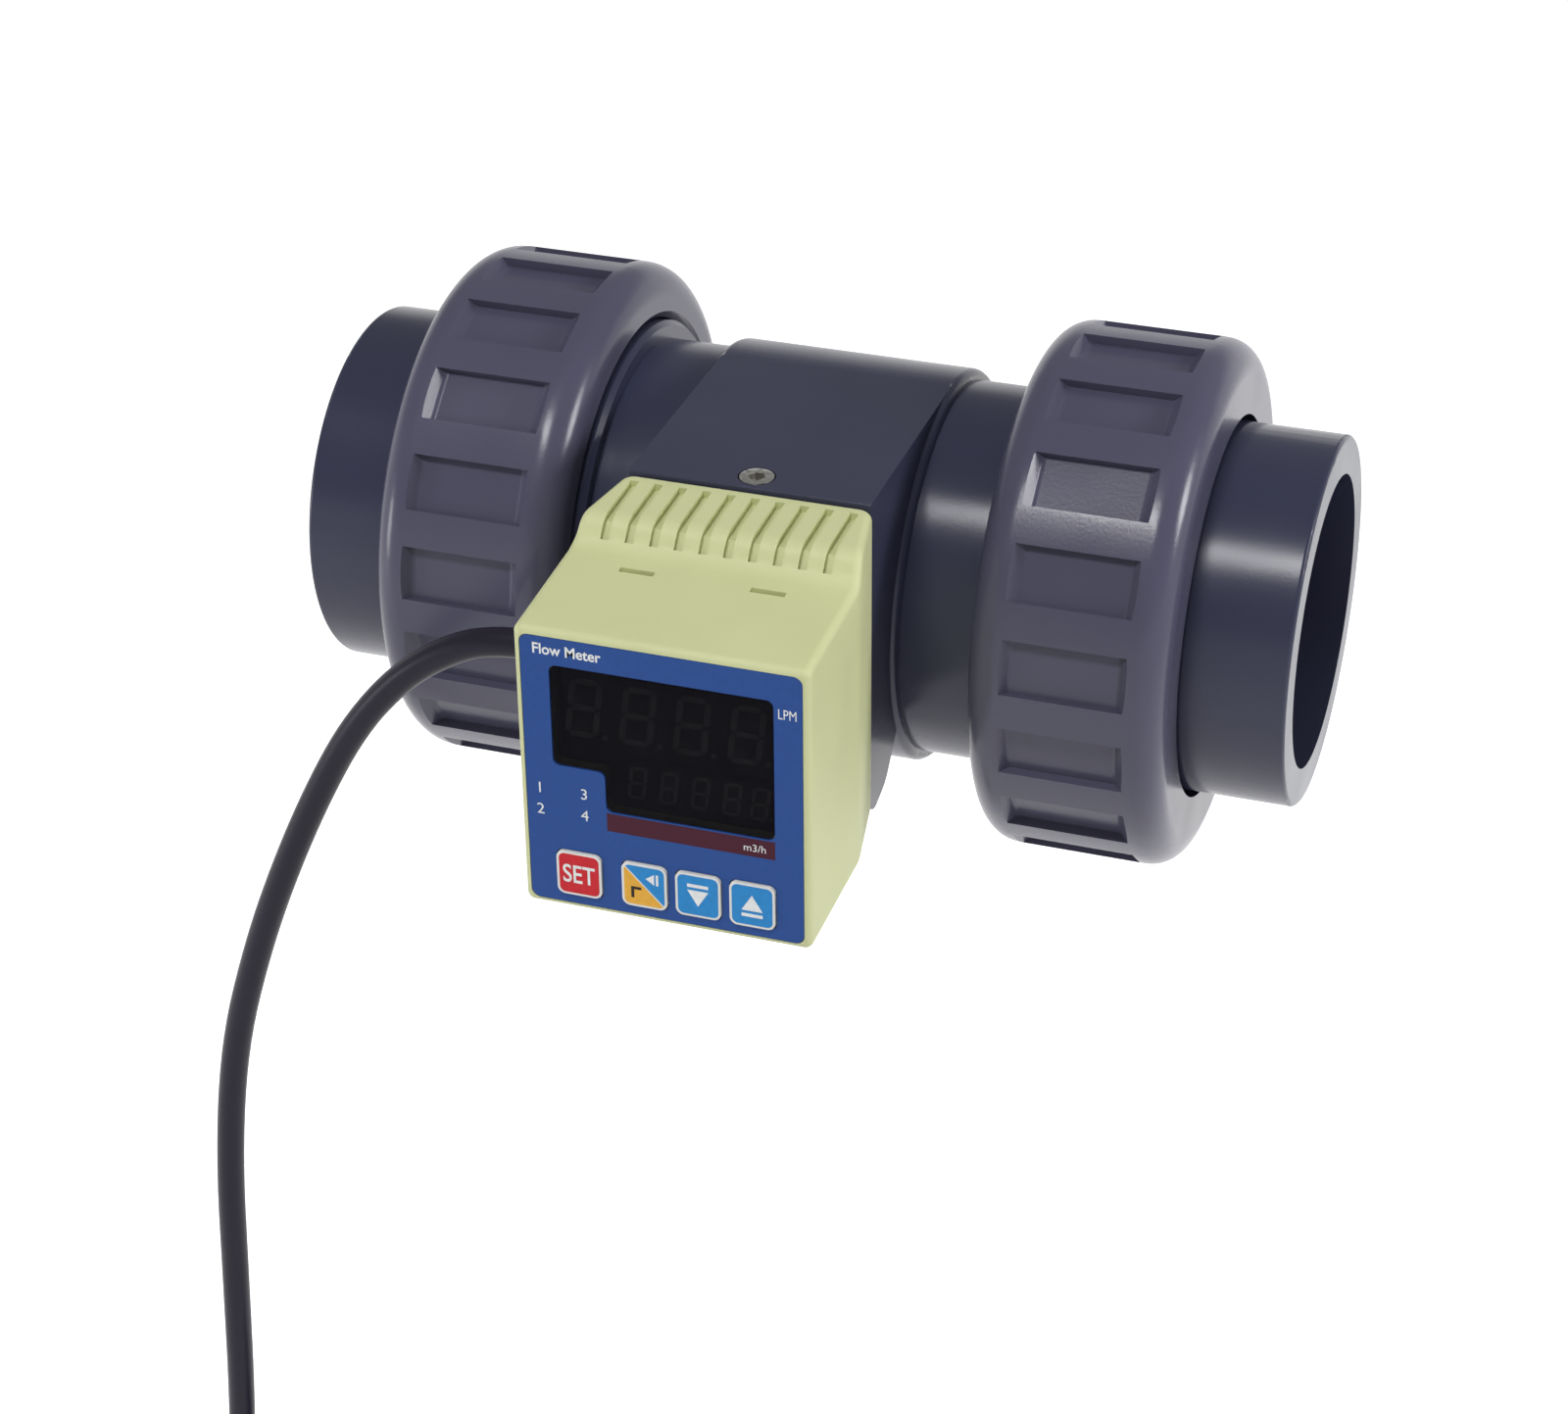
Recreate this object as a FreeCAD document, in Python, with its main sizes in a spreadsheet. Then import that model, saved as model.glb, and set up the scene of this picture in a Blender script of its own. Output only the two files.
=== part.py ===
import FreeCAD, Part
import math
import os
import re
import Sketcher

# In-line paddle wheel flow meter: a union-ended plastic pipe body, an insert with a magnetic
# paddle wheel, and a display head with four keys on the front of the body.
# Millimetres. The origin is the centre of the inlet socket's mouth, +X runs with the flow,
# -Y is the display side and +Z is up.

V = FreeCAD.Vector
Z_AXIS = V(0, 0, 1)
TINY = 0.01
UNTURNED = FreeCAD.Rotation()
HALF_TURN = FreeCAD.Rotation(Z_AXIS, 180)
Z_TO_RIGHT = FreeCAD.Rotation(V(0, 1, 0), 90)
Z_TO_FRONT = FreeCAD.Rotation(V(1, 0, 0), 90)
Z_TO_BACK = FreeCAD.Rotation(V(1, 0, 0), -90)

# Driving sizes
SIZES = {
    # pipe sockets and unions
    "total_length": 172,
    "socket_bore": 50,
    "socket_wall": 6.5,
    "socket_depth": 31,
    "socket_stop": 5,
    "socket_edge": 0.8,
    "socket_exposed": 17.5,
    "collar_step": 3,
    "collar_thickness": 10,
    "collar_clearance": 1.2,
    "nut_wall": 9.3,
    "nut_width": 33,
    "nut_flange": 7,
    "nut_rounding": 5.5,
    "nut_hole_clearance": 1.2,
    "nut_mouth_chamfer": 1.2,
    "nut_pockets": 18,
    "nut_pocket_width": 9.4,
    "nut_pocket_length": 21,
    "nut_pocket_depth": 1.9,
    "nut_pocket_slope": 1.6,
    "nut_pocket_rounding": 1.2,
    "seat_gap": 0.2,
    # meter body
    "thread_clearance": 0.3,
    "thread_reach": 1.2,
    "thread_chamfer": 1,
    "thread_shoulder": 0.8,
    "thread_step": 3.1,
    "sleeve_step": 1.8,
    "sleeve_length": 43,
    "sleeve_rounding": 1.5,
    "pad_inset": 1.1,
    "pad_edge": 0.3,
    "pad_stand": 10.9,
    "pad_drop": 25,
    "pad_rounding": 3,
    "pad_foot": 9,
    "pad_foot_rise": 2.5,
    "pad_flare": 8,
    "seal_section": 3.5,
    "seal_inset": 4,
    "seal_clearance": 0.1,
    # sensor insert and paddle wheel
    "insert_bore": 26,
    "insert_clearance": 0.2,
    "insert_flange_step": 3,
    "insert_flange": 6,
    "insert_neck": 20,
    "insert_neck_length": 9.5,
    "insert_cavity": 14,
    "insert_wall": 3,
    "insert_seal_section": 2,
    "insert_seal_spacing": 5,
    "fork_gap": 10,
    "fork_tine": 15,
    "fork_reach": 4,
    "paddle_radius": 9,
    "paddle_height": 8.4,
    "paddle_thickness": 3,
    "paddle_count": 4,
    "paddle_tip_gap": 2,
    "hub_diameter": 6,
    "axle_diameter": 2,
    "axle_length": 22,
    "axle_clearance": 0.05,
    "axle_inset": 5.5,
    "magnet_diameter": 4,
    "magnet_orbit": 6,
    "magnet_clearance": 0.05,
    "chip_width": 4,
    "chip_height": 3,
    "chip_thickness": 1.6,
    "sensor_board_width": 9,
    "sensor_board_height": 10,
    "board_thickness": 1.6,
    "ring_nut_width": 26,
    "ring_nut_height": 5,
    "lock_screw_setback": 4,
    "lock_screw_head": 5.7,
    "lock_screw_head_height": 3,
    "lock_screw_shank": 3,
    "lock_screw_bite": 2,
    "lock_screw_key": 2.5,
    "screw_clearance": 0.25,
    # display case
    "face_width": 48,
    "face_height": 50.5,
    "face_rise": 2.2,
    "case_depth": 42,
    "case_wall": 2.2,
    "front_wall": 2.6,
    "edge_rounding": 1.4,
    "top_rise": 1.6,
    "belly_rise": 1,
    "hump_depth": 17,
    "hump_height": 6.2,
    "hump_fall": 0.5,
    "hump_rounding": 4,
    "ramp_run": 2.8,
    "side_taper": 3.2,
    "side_bend": 12,
    "back_corner": 2.5,
    "vent_count": 10,
    "vent_pitch": 4.1,
    "vent_width": 1.5,
    "vent_depth": 1.3,
    "vent_back_margin": 2.4,
    "vent_lift": 0.6,
    "slit_spread": 21.6,
    "slit_length": 5.8,
    "slit_width": 1.3,
    "slit_from_back": 22.5,
    "overlay_margin": 1.1,
    "overlay_recess": 0.6,
    "overlay_thickness": 0.5,
    "overlay_corner": 1.5,
    "window_margin": 5.8,
    "window_top_margin": 6,
    "window_step_in": 8.6,
    "window_step_height": 7.1,
    "window_corner": 1.2,
    "window_lip": 0.8,
    "window_recess": 0.25,
    "fit_clearance": 0.1,
    "key_gap": 1.45,
    "set_key_gap": 2,
    "key_height": 8,
    "key_corner": 1.3,
    "key_row_margin": 7,
    "key_window_gap": 8.4,
    "key_clearance": 0.15,
    "key_proud": 0.45,
    "key_lip": 0.4,
    "key_lip_thickness": 0.8,
    "key_stem": 3,
    "key_travel": 0.4,
    # electronics in the case
    "lens_gap": 0.2,
    "digit_depth": 6.6,
    "digit_margin": 1.9,
    "upper_digit_length": 36,
    "lower_digit_length": 25,
    "switch_size": 6,
    "switch_height": 3.5,
    "switch_button": 3.2,
    "switch_button_height": 1.4,
    "front_board_inset": 0.8,
    "boss_diameter": 4,
    "boss_inset": 2.6,
    "boss_drop": 10.5,
    "board_screw": 2.2,
    "board_screw_head": 3.8,
    "board_screw_head_height": 1.4,
    "board_screw_length": 5,
    "rear_board_height": 34,
    "rear_board_from_back": 13,
    "header_width": 20,
    "header_height": 5,
    "header_drop": 12,
    "terminal_width": 9,
    "terminal_height": 14,
    "terminal_depth": 12,
    "terminal_gap": 0.8,
    "back_plate_thickness": 3,
    "latch_width": 5,
    "latch_thickness": 1.4,
    "latch_drop": 0.5,
    # cable and gland
    "cable_diameter": 5,
    "gland_board_gap": 1.7,
    "gland_height": 10,
    "gland_body": 10,
    "gland_flange": 13,
    "gland_flange_thickness": 1.6,
    "gland_nose": 7.5,
    "gland_nose_length": 3.5,
    "gland_tail": 4.5,
    "gland_nut_width": 13,
    "gland_nut_height": 3,
    "coil_diameter": 60,
    "coil_section": 14,
    "tie_width": 4,
    "tie_thickness": 1,
    "tie_clearance": 0.15,
    "coil_lap": 12,
    "lead_diameter": 1.3,
    "lead_length": 28,
    "lead_spread": 2,
    "lead_drop": 10,
    "lead_out": 1.4,
    "lead_front": 4.2,
}

# Share of the shorter run that a cable bend takes up
ARC_SHARE = 0.45

# Cable route after the gland's mouth, in the row's frame
CABLE_ROUTE = [
    (50.0, -67.0, 12.2),
    (41.0, -67.0, 10.1),
    (32.0, -67.1, 4.9),
    (23.5, -67.2, -5.6),
    (15.7, -67.4, -21.2),
    (7.6, -67.6, -39.5),
    (1.1, -67.7, -58.4),
    (-4.2, -67.7, -79.7),
    (-7.8, -67.6, -105.5),
    (-9.4, -67.3, -135.5),
    (-9.4, -67.0, -194.0),
]

doc = FreeCAD.newDocument("flow_meter")
sheet = doc.addObject("Spreadsheet::Sheet", "Sizes")
for row, (alias, size) in enumerate(SIZES.items(), start=1):
    sheet.set(f"A{row}", alias)
    sheet.set(f"B{row}", str(size))
    sheet.setAlias(f"B{row}", alias)
doc.recompute()

# Places worked out from the driving sizes
BORE_R = "(socket_bore / 2)"
FLOW_R = "(socket_bore / 2 - socket_stop)"
SOCKET_R = "(socket_bore / 2 + socket_wall)"
COLLAR_R = f"({SOCKET_R} + collar_step)"
NUT_BORE_R = f"({COLLAR_R} + collar_clearance)"
NUT_R = f"({NUT_BORE_R} + nut_wall)"
THREAD_R = f"({NUT_BORE_R} - thread_clearance)"
TUBE_R = f"({THREAD_R} - thread_step)"
SLEEVE_R = f"({TUBE_R} + sleeve_step)"
COLLAR_BACK = "(socket_exposed + nut_flange + seat_gap)"
UNION_FACE = f"({COLLAR_BACK} + collar_thickness)"
NUT_END = "(socket_exposed + nut_width)"
MID = "(total_length / 2)"
PAD_Y = f"({SLEEVE_R} + pad_stand)"
FRONT_Y = f"({PAD_Y} + case_depth)"
AXLE_Y = f"({FLOW_R} - axle_inset)"
SLOT_FLOOR = f"({AXLE_Y} + paddle_radius + paddle_tip_gap)"
CAVITY_FLOOR = f"({SLOT_FLOOR} + insert_wall)"
PLUG_R = "(insert_bore / 2 - insert_clearance)"
FLANGE_R = "(insert_bore / 2 + insert_flange_step - insert_clearance)"
SEAL_MEAN_R = f"({FLOW_R} + seal_inset + seal_section / 2)"
INSERT_SEAL_R = f"({PLUG_R} - insert_seal_section / 2)"

# Places on the display face, from its centre
WINDOW_HALF = "(face_width / 2 - window_margin)"
WINDOW_TOP = "(face_height / 2 - window_top_margin)"
KEY_ROW = "(key_row_margin - face_height / 2)"
WINDOW_BOTTOM = f"({KEY_ROW} + key_height / 2 + key_window_gap)"
STEP_X = f"(window_step_in - {WINDOW_HALF})"
STEP_Z = f"({WINDOW_BOTTOM} + window_step_height)"
KEY_WIDTH = f"((2 * {WINDOW_HALF} - 3 * key_gap - set_key_gap) / 4)"
KEY_PITCH = f"({KEY_WIDTH} + key_gap)"
KEYS = {
    "set_key": f"({KEY_WIDTH} / 2 - {WINDOW_HALF})",
    "shift_key": f"({WINDOW_HALF} - {KEY_WIDTH} / 2 - 2 * {KEY_PITCH})",
    "down_key": f"({WINDOW_HALF} - {KEY_WIDTH} / 2 - {KEY_PITCH})",
    "up_key": f"({WINDOW_HALF} - {KEY_WIDTH} / 2)",
}
LENS_BACK = "(front_wall + window_lip)"
DIGIT_FACE = f"({LENS_BACK} + lens_gap)"
FRONT_BOARD = f"({DIGIT_FACE} + digit_depth)"
FRONT_BOARD_BACK = f"({FRONT_BOARD} + board_thickness)"
REAR_BOARD = "(case_depth - rear_board_from_back)"
CASE_TOP = "(face_height / 2)"
CASE_HALF = "(face_width / 2)"
BOSS_X = f"({CASE_HALF} - case_wall - boss_inset)"
GLAND_DEPTH = f"({FRONT_BOARD_BACK} + gland_board_gap + gland_nut_width / 2)"
TERMINAL_SIDE = f"({CASE_HALF} - case_wall - gland_tail - terminal_gap)"


def tied(text):
    """The same expression with each size read from the sheet."""
    return re.sub(r"[a-z_]+", lambda word: f"Sizes.{word[0]}" if word[0] in SIZES else word[0], text)


def value(text):
    """The number that an expression has now."""
    return float(sheet.evalExpression(text))


def bind(obj, **properties):
    """Tie an object's properties to sheet expressions."""
    for name, text in properties.items():
        obj.setExpression(name, tied(text))


def place(obj, x="0", y="0", z="0", turn=UNTURNED):
    """Turn an object, then put its origin at three sheet expressions."""
    obj.Placement = FreeCAD.Placement(V(value(x), value(y), value(z)), turn)
    for name, text in (("x", x), ("y", y), ("z", z)):
        obj.setExpression(f"Placement.Base.{name}", tied(text))
    return obj


def new_body(label):
    body = doc.addObject("PartDesign::Body", label)
    body.Label = label
    return body


def head_body(label):
    """A body of the display head: its origin is the face's centre, and +Y is depth behind the face."""
    return place(new_body(label), MID, f"-{FRONT_Y}", "face_rise")


def sketch_on(body, role, name, offset="0"):
    """A sketch on one of the body's own planes, moved along the plane's normal."""
    plane = next(feature for feature in body.Origin.OriginFeatures if feature.Role == role)
    sketch = body.newObject("Sketcher::SketchObject", name)
    sketch.AttachmentSupport = [(plane, "")]
    sketch.MapMode = "FlatFace"
    sketch.AttachmentOffset = FreeCAD.Placement(V(0, 0, value(offset)), UNTURNED)
    sketch.setExpression("AttachmentOffset.Base.z", tied(offset))
    return sketch


def face_sketch(body, name, depth="0"):
    """A sketch parallel to the display face, at a depth behind it."""
    return sketch_on(body, "XZ_Plane", name, f"-({depth})")


def pin(sketch, geometry, point, u, v):
    """Hold one point of a sketch at two sheet expressions."""
    for kind, text in (("DistanceX", u), ("DistanceY", v)):
        index = sketch.addConstraint(Sketcher.Constraint(kind, -1, 1, geometry, point, value(text)))
        sketch.setExpression(f"Constraints[{index}]", tied(text))


def hold_radius(sketch, geometry, radius):
    index = sketch.addConstraint(Sketcher.Constraint("Radius", geometry, value(radius)))
    sketch.setExpression(f"Constraints[{index}]", tied(radius))


def circle(sketch, u, v, radius):
    geometry = sketch.addGeometry(Part.Circle(V(value(u), value(v), 0), Z_AXIS, value(radius)))
    pin(sketch, geometry, 3, u, v)
    hold_radius(sketch, geometry, radius)


def corner_arc(before, spot, after, radius):
    """The tangent points and the arc that rounds a corner, and which end of the arc comes first."""
    back = (before - spot).normalize()
    ahead = (after - spot).normalize()
    half = back.getAngle(ahead) / 2
    reach = radius / math.tan(half)
    centre = spot + (back + ahead).normalize() * (radius / math.sin(half))
    start, end = spot + back * reach, spot + ahead * reach
    turns_left = back.cross(ahead).z < 0
    first, last = (start, end) if turns_left else (end, start)
    angles = [math.atan2(point.y - centre.y, point.x - centre.x) for point in (first, last)]
    if angles[1] < angles[0]:
        angles[1] += 2 * math.pi
    arc = Part.ArcOfCircle(Part.Circle(centre, Z_AXIS, radius), *angles)
    return start, end, arc, 1 if turns_left else 2


def outline(sketch, corners):
    """A closed outline. A corner is (u, v) or (u, v, rounding), each a sheet expression."""
    spots = [V(value(corner[0]), value(corner[1]), 0) for corner in corners]
    count = len(corners)
    rounds = {}
    for i, corner in enumerate(corners):
        if len(corner) == 3:
            rounds[i] = corner_arc(spots[i - 1], spots[i], spots[(i + 1) % count], value(corner[2]))
    lines = []
    for i in range(count):
        following = (i + 1) % count
        start = rounds[i][1] if i in rounds else spots[i]
        end = rounds[following][0] if following in rounds else spots[following]
        lines.append(sketch.addGeometry(Part.LineSegment(start, end)))
    for i, corner in enumerate(corners):
        if i not in rounds:
            sketch.addConstraint(Sketcher.Constraint("Coincident", lines[i - 1], 2, lines[i], 1))
            pin(sketch, lines[i], 1, corner[0], corner[1])
            continue
        arc = sketch.addGeometry(rounds[i][2])
        first = rounds[i][3]
        apex = sketch.addGeometry(Part.Point(spots[i]), True)
        pin(sketch, apex, 1, corner[0], corner[1])
        sketch.addConstraint(Sketcher.Constraint("Tangent", lines[i - 1], 2, arc, first))
        sketch.addConstraint(Sketcher.Constraint("Tangent", arc, 3 - first, lines[i], 1))
        sketch.addConstraint(Sketcher.Constraint("PointOnObject", apex, 1, lines[i - 1]))
        sketch.addConstraint(Sketcher.Constraint("PointOnObject", apex, 1, lines[i]))
        hold_radius(sketch, arc, corner[2])


def block(u, v, width, height, rounding=None):
    """The corners of a rectangle about a centre."""
    signs = ((-1, -1), (1, -1), (1, 1), (-1, 1))
    spots = [(f"{u} + ({a}) * ({width}) / 2", f"{v} + ({b}) * ({height}) / 2") for a, b in signs]
    return [spot + (rounding,) for spot in spots] if rounding else spots


def feature(body, kind, sketch, name):
    made = body.newObject(f"PartDesign::{kind}", name)
    made.Profile = sketch
    return made


def pad(body, sketch, length, name, both=False, back=False):
    made = feature(body, "Pad", sketch, name)
    bind(made, Length=length)
    made.SideType = "Symmetric" if both else "One side"
    made.Reversed = back
    return made


def pocket(body, sketch, length, name, both=False):
    made = feature(body, "Pocket", sketch, name)
    bind(made, Length=length)
    made.SideType = "Symmetric" if both else "One side"
    return made


def round_edges(body, wanted, radius, name):
    """Round those edges of a body's last shape whose bounds pass a test."""
    doc.recompute()
    base = body.Tip
    picked = [f"Edge{i + 1}" for i, edge in enumerate(base.Shape.Edges) if wanted(edge.BoundBox)]
    made = body.newObject("PartDesign::Fillet", name)
    made.Base = (base, picked)
    bind(made, Radius=radius)
    return made


def revolve(body, sketch, axis, name):
    made = feature(body, "Revolution", sketch, name)
    made.ReferenceAxis = (sketch, [axis])
    made.Angle = 360
    return made


def polar(body, originals, axis, count, name):
    """A full circle of copies about one of the body's own axes."""
    made = body.newObject("PartDesign::PolarPattern", name)
    made.Originals = originals
    line = next(item for item in body.Origin.OriginFeatures if item.Role == axis)
    made.Axis = (line, [""])
    made.Angle = 360
    bind(made, Occurrences=count)
    body.Tip = made
    return made


def cylinder(label, radius, height, x, y, z, turn=UNTURNED):
    made = doc.addObject("Part::Cylinder", label)
    bind(made, Radius=radius, Height=height)
    return place(made, x, y, z, turn)


def hexagon(label, width, height, x, y, z, turn=UNTURNED):
    """Six-sided bar, measured across its flats."""
    made = doc.addObject("Part::Prism", label)
    made.Polygon = 6
    bind(made, Circumradius=f"({width}) / sqrt(3)", Height=height)
    return place(made, x, y, z, turn)


def box(label, length, width, height, x, y, z):
    """A box centred on x and z, from y backwards."""
    made = doc.addObject("Part::Box", label)
    bind(made, Length=length, Width=width, Height=height)
    return place(made, f"{x} - ({length}) / 2", y, f"{z} - ({height}) / 2")


def cut(label, base, tool):
    made = doc.addObject("Part::Cut", label)
    made.Base = base
    made.Tool = tool
    return made


def fuse(label, shapes):
    made = doc.addObject("Part::MultiFuse", label)
    made.Shapes = shapes
    return made


def group(label, shapes):
    """Separate solids kept as one sub-part."""
    made = doc.addObject("Part::Compound", label)
    made.Links = shapes
    return made


def head(x, depth, z):
    """A place in the display head, in the row's frame."""
    return f"{MID} + ({x})", f"({depth}) - {FRONT_Y}", f"face_rise + ({z})"


# Pipe ends and unions

def end_connector(label, place_at_end):
    """Solvent socket with its stop, and the collar that the union nut pulls on."""
    body = new_body(label)
    sketch = sketch_on(body, "XZ_Plane", f"{label}_section")
    outline(sketch, [
        ("0", BORE_R),
        ("socket_depth", BORE_R),
        ("socket_depth", FLOW_R),
        (UNION_FACE, FLOW_R),
        (UNION_FACE, COLLAR_R, "socket_edge"),
        (COLLAR_BACK, COLLAR_R, "socket_edge"),
        (COLLAR_BACK, SOCKET_R),
        ("0", SOCKET_R, "socket_edge"),
    ])
    revolve(body, sketch, "H_Axis", f"{label}_turned")
    return place_at_end(body)


def union_nut(label, place_at_end):
    """Round nut with a ring of flat-floored grip pockets between two plain rims."""
    body = new_body(label)
    sketch = sketch_on(body, "XZ_Plane", f"{label}_section")
    hole_r = f"({SOCKET_R} + nut_hole_clearance)"
    flange_end = "(socket_exposed + nut_flange)"
    outline(sketch, [
        ("socket_exposed", hole_r),
        (flange_end, hole_r),
        (flange_end, NUT_BORE_R),
        (f"{NUT_END} - nut_mouth_chamfer", NUT_BORE_R),
        (NUT_END, f"{NUT_BORE_R} + nut_mouth_chamfer"),
        (NUT_END, NUT_R, "nut_rounding"),
        ("socket_exposed", NUT_R, "nut_rounding"),
    ])
    revolve(body, sketch, "H_Axis", f"{label}_turned")
    grip = sketch_on(body, "XZ_Plane", f"{label}_grip")
    start = "socket_exposed + (nut_width - nut_pocket_length) / 2"
    end = "socket_exposed + (nut_width + nut_pocket_length) / 2"
    floor = f"{NUT_R} - nut_pocket_depth"
    outline(grip, [
        (start, NUT_R), (f"{start} + nut_pocket_slope", floor, "nut_pocket_rounding"),
        (f"{end} - nut_pocket_slope", floor, "nut_pocket_rounding"), (end, NUT_R),
        (end, f"{NUT_R} + nut_pocket_depth"), (start, f"{NUT_R} + nut_pocket_depth"),
    ])
    first = pocket(body, grip, "nut_pocket_width", f"{label}_pocket", both=True)
    polar(body, [first], "X_Axis", "nut_pockets", f"{label}_pockets")
    return place_at_end(body)


def union_seal(label, x):
    """O-ring in the groove of the body's end face."""
    ring = doc.addObject("Part::Torus", label)
    bind(ring, Radius1=SEAL_MEAN_R, Radius2="(seal_section - seal_clearance) / 2")
    return place(ring, x, "0", "0", Z_TO_RIGHT)


def at_inlet(body):
    return place(body)


def at_outlet(body):
    return place(body, "total_length", "0", "0", HALF_TURN)


# Meter body

def meter_body():
    """Threaded tube with a raised sleeve, and a flat pad in front that carries the display head."""
    body = place(new_body("meter_body"), MID)
    half = f"({MID} - {UNION_FACE})"
    thread_end = f"({MID} - {NUT_END} - thread_reach)"
    groove_in = f"({SEAL_MEAN_R} - seal_section / 2 - seal_clearance)"
    groove_out = f"({SEAL_MEAN_R} + seal_section / 2 + seal_clearance)"
    groove_floor = f"({half} - seal_section - seal_clearance)"

    def end_corners(sign):
        return [
            (f"{sign}{half}", FLOW_R),
            (f"{sign}{half}", groove_in),
            (f"{sign}{groove_floor}", groove_in),
            (f"{sign}{groove_floor}", groove_out),
            (f"{sign}{half}", groove_out),
            (f"{sign}{half}", f"{THREAD_R} - thread_chamfer"),
            (f"{sign}({half} - thread_chamfer)", THREAD_R),
            (f"{sign}({thread_end} + thread_shoulder)", THREAD_R),
            (f"{sign}{thread_end}", f"{THREAD_R} - thread_shoulder"),
            (f"{sign}{thread_end}", TUBE_R),
            (f"{sign}sleeve_length / 2", TUBE_R),
            (f"{sign}sleeve_length / 2", SLEEVE_R, "sleeve_rounding"),
        ]

    section = sketch_on(body, "XZ_Plane", "body_section")
    outline(section, end_corners("") + end_corners("-")[::-1])
    revolve(body, section, "H_Axis", "body_turned")

    side = sketch_on(body, "YZ_Plane", "pad_side")
    foot_y = f"(pad_foot - {PAD_Y})"
    outline(side, [
        ("0", SLEEVE_R),
        (f"-{PAD_Y}", SLEEVE_R, "pad_edge"),
        (f"-{PAD_Y}", "-pad_drop", "pad_rounding"),
        (foot_y, "pad_foot_rise - pad_drop", "pad_flare"),
        (f"{foot_y} + pad_foot", f"pad_foot_rise - pad_drop + {FLOW_R} / 2"),
        ("0", f"pad_foot_rise - pad_drop + {FLOW_R} / 2"),
    ])
    pad(body, side, "sleeve_length - 2 * pad_inset", "pad_block", both=True)

    flow = sketch_on(body, "YZ_Plane", "flow_bore")
    circle(flow, "0", "0", FLOW_R)
    pocket(body, flow, f"2 * {half} + 2", "flow_bore_cut", both=True)

    socket = face_sketch(body, "insert_socket", f"-{PAD_Y}")
    circle(socket, "0", "0", "insert_bore / 2")
    pocket(body, socket, PAD_Y, "insert_socket_cut")

    seat = face_sketch(body, "insert_seat", f"-{PAD_Y}")
    circle(seat, "0", "0", "insert_bore / 2 + insert_flange_step")
    pocket(body, seat, "insert_flange", "insert_seat_cut")

    screw_y = f"(lock_screw_setback - {PAD_Y})"
    shank = sketch_on(body, "XY_Plane", "lock_screw_hole", SLEEVE_R)
    circle(shank, "0", screw_y, "lock_screw_shank / 2 + screw_clearance")
    pocket(body, shank, SLEEVE_R, "lock_screw_hole_cut")
    sink = sketch_on(body, "XY_Plane", "lock_screw_sink", SLEEVE_R)
    circle(sink, "0", screw_y, "lock_screw_head / 2 + screw_clearance")
    pocket(body, sink, "lock_screw_head_height", "lock_screw_sink_cut")
    return body


# Sensor insert and paddle wheel

def insert_seal_places():
    first = f"({PAD_Y} - insert_flange - insert_seal_spacing / 2)"
    return [first, f"({first} - insert_seal_spacing)"]


def sensor_insert():
    """Plug turned about Y: threaded neck, flange, two seal grooves, and a fork that holds the axle."""
    body = place(new_body("sensor_insert"), MID)
    tip = f"({AXLE_Y} - fork_reach)"
    neck_end = f"({PAD_Y} + insert_neck_length)"
    groove_half = "(insert_seal_section / 2 + seal_clearance)"
    groove_r = f"({PLUG_R} - insert_seal_section - seal_clearance)"
    section = sketch_on(body, "XY_Plane", "insert_section")
    corners = [
        ("0", f"-{CAVITY_FLOOR}"),
        ("insert_cavity / 2", f"-{CAVITY_FLOOR}"),
        ("insert_cavity / 2", f"-{neck_end}"),
        ("insert_neck / 2", f"-{neck_end}"),
        ("insert_neck / 2", f"-{PAD_Y}"),
        (FLANGE_R, f"-{PAD_Y}"),
        (FLANGE_R, f"insert_flange - {PAD_Y}"),
        (PLUG_R, f"insert_flange - {PAD_Y}"),
    ]
    for seal_y in insert_seal_places():
        corners += [
            (PLUG_R, f"-{seal_y} - {groove_half}"),
            (groove_r, f"-{seal_y} - {groove_half}"),
            (groove_r, f"-{seal_y} + {groove_half}"),
            (PLUG_R, f"-{seal_y} + {groove_half}"),
        ]
    corners += [(PLUG_R, f"-{tip}"), ("0", f"-{tip}")]
    outline(section, corners)
    revolve(body, section, "V_Axis", "insert_turned")

    slot = sketch_on(body, "YZ_Plane", "fork_slot")
    outline(slot, block(f"-{SLOT_FLOOR} / 2", "0", SLOT_FLOOR, "fork_gap"))
    pocket(body, slot, "2 * insert_bore", "fork_slot_cut", both=True)
    for side in ("-", ""):
        trim = sketch_on(body, "XY_Plane", f"fork_trim_{'left' if side else 'right'}")
        outline(trim, block(f"{side}(fork_tine / 2 + insert_bore / 2)", f"-({SLOT_FLOOR} - insert_wall) / 2",
                            "insert_bore", f"{SLOT_FLOOR} - insert_wall"))
        pocket(body, trim, "2 * insert_bore", f"{trim.Name}_cut", both=True)
    hole = sketch_on(body, "XY_Plane", "axle_hole")
    circle(hole, "0", f"-{AXLE_Y}", "axle_diameter / 2 + axle_clearance / 2")
    pocket(body, hole, "axle_length", "axle_hole_cut", both=True)
    dimple = sketch_on(body, "XY_Plane", "lock_dimple", FLANGE_R)
    circle(dimple, "0", f"lock_screw_setback - {PAD_Y}", "lock_screw_shank / 2 + screw_clearance")
    pocket(body, dimple, "lock_screw_bite + screw_clearance", "lock_dimple_cut")
    return body


def insert_seals():
    rings = []
    for number, seal_y in enumerate(insert_seal_places(), start=1):
        ring = doc.addObject("Part::Torus", f"insert_seal_{number}")
        bind(ring, Radius1=INSERT_SEAL_R, Radius2="insert_seal_section / 2")
        rings.append(place(ring, MID, f"-{seal_y}", "0", Z_TO_FRONT))
    return group("insert_o_rings", rings)


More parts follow.
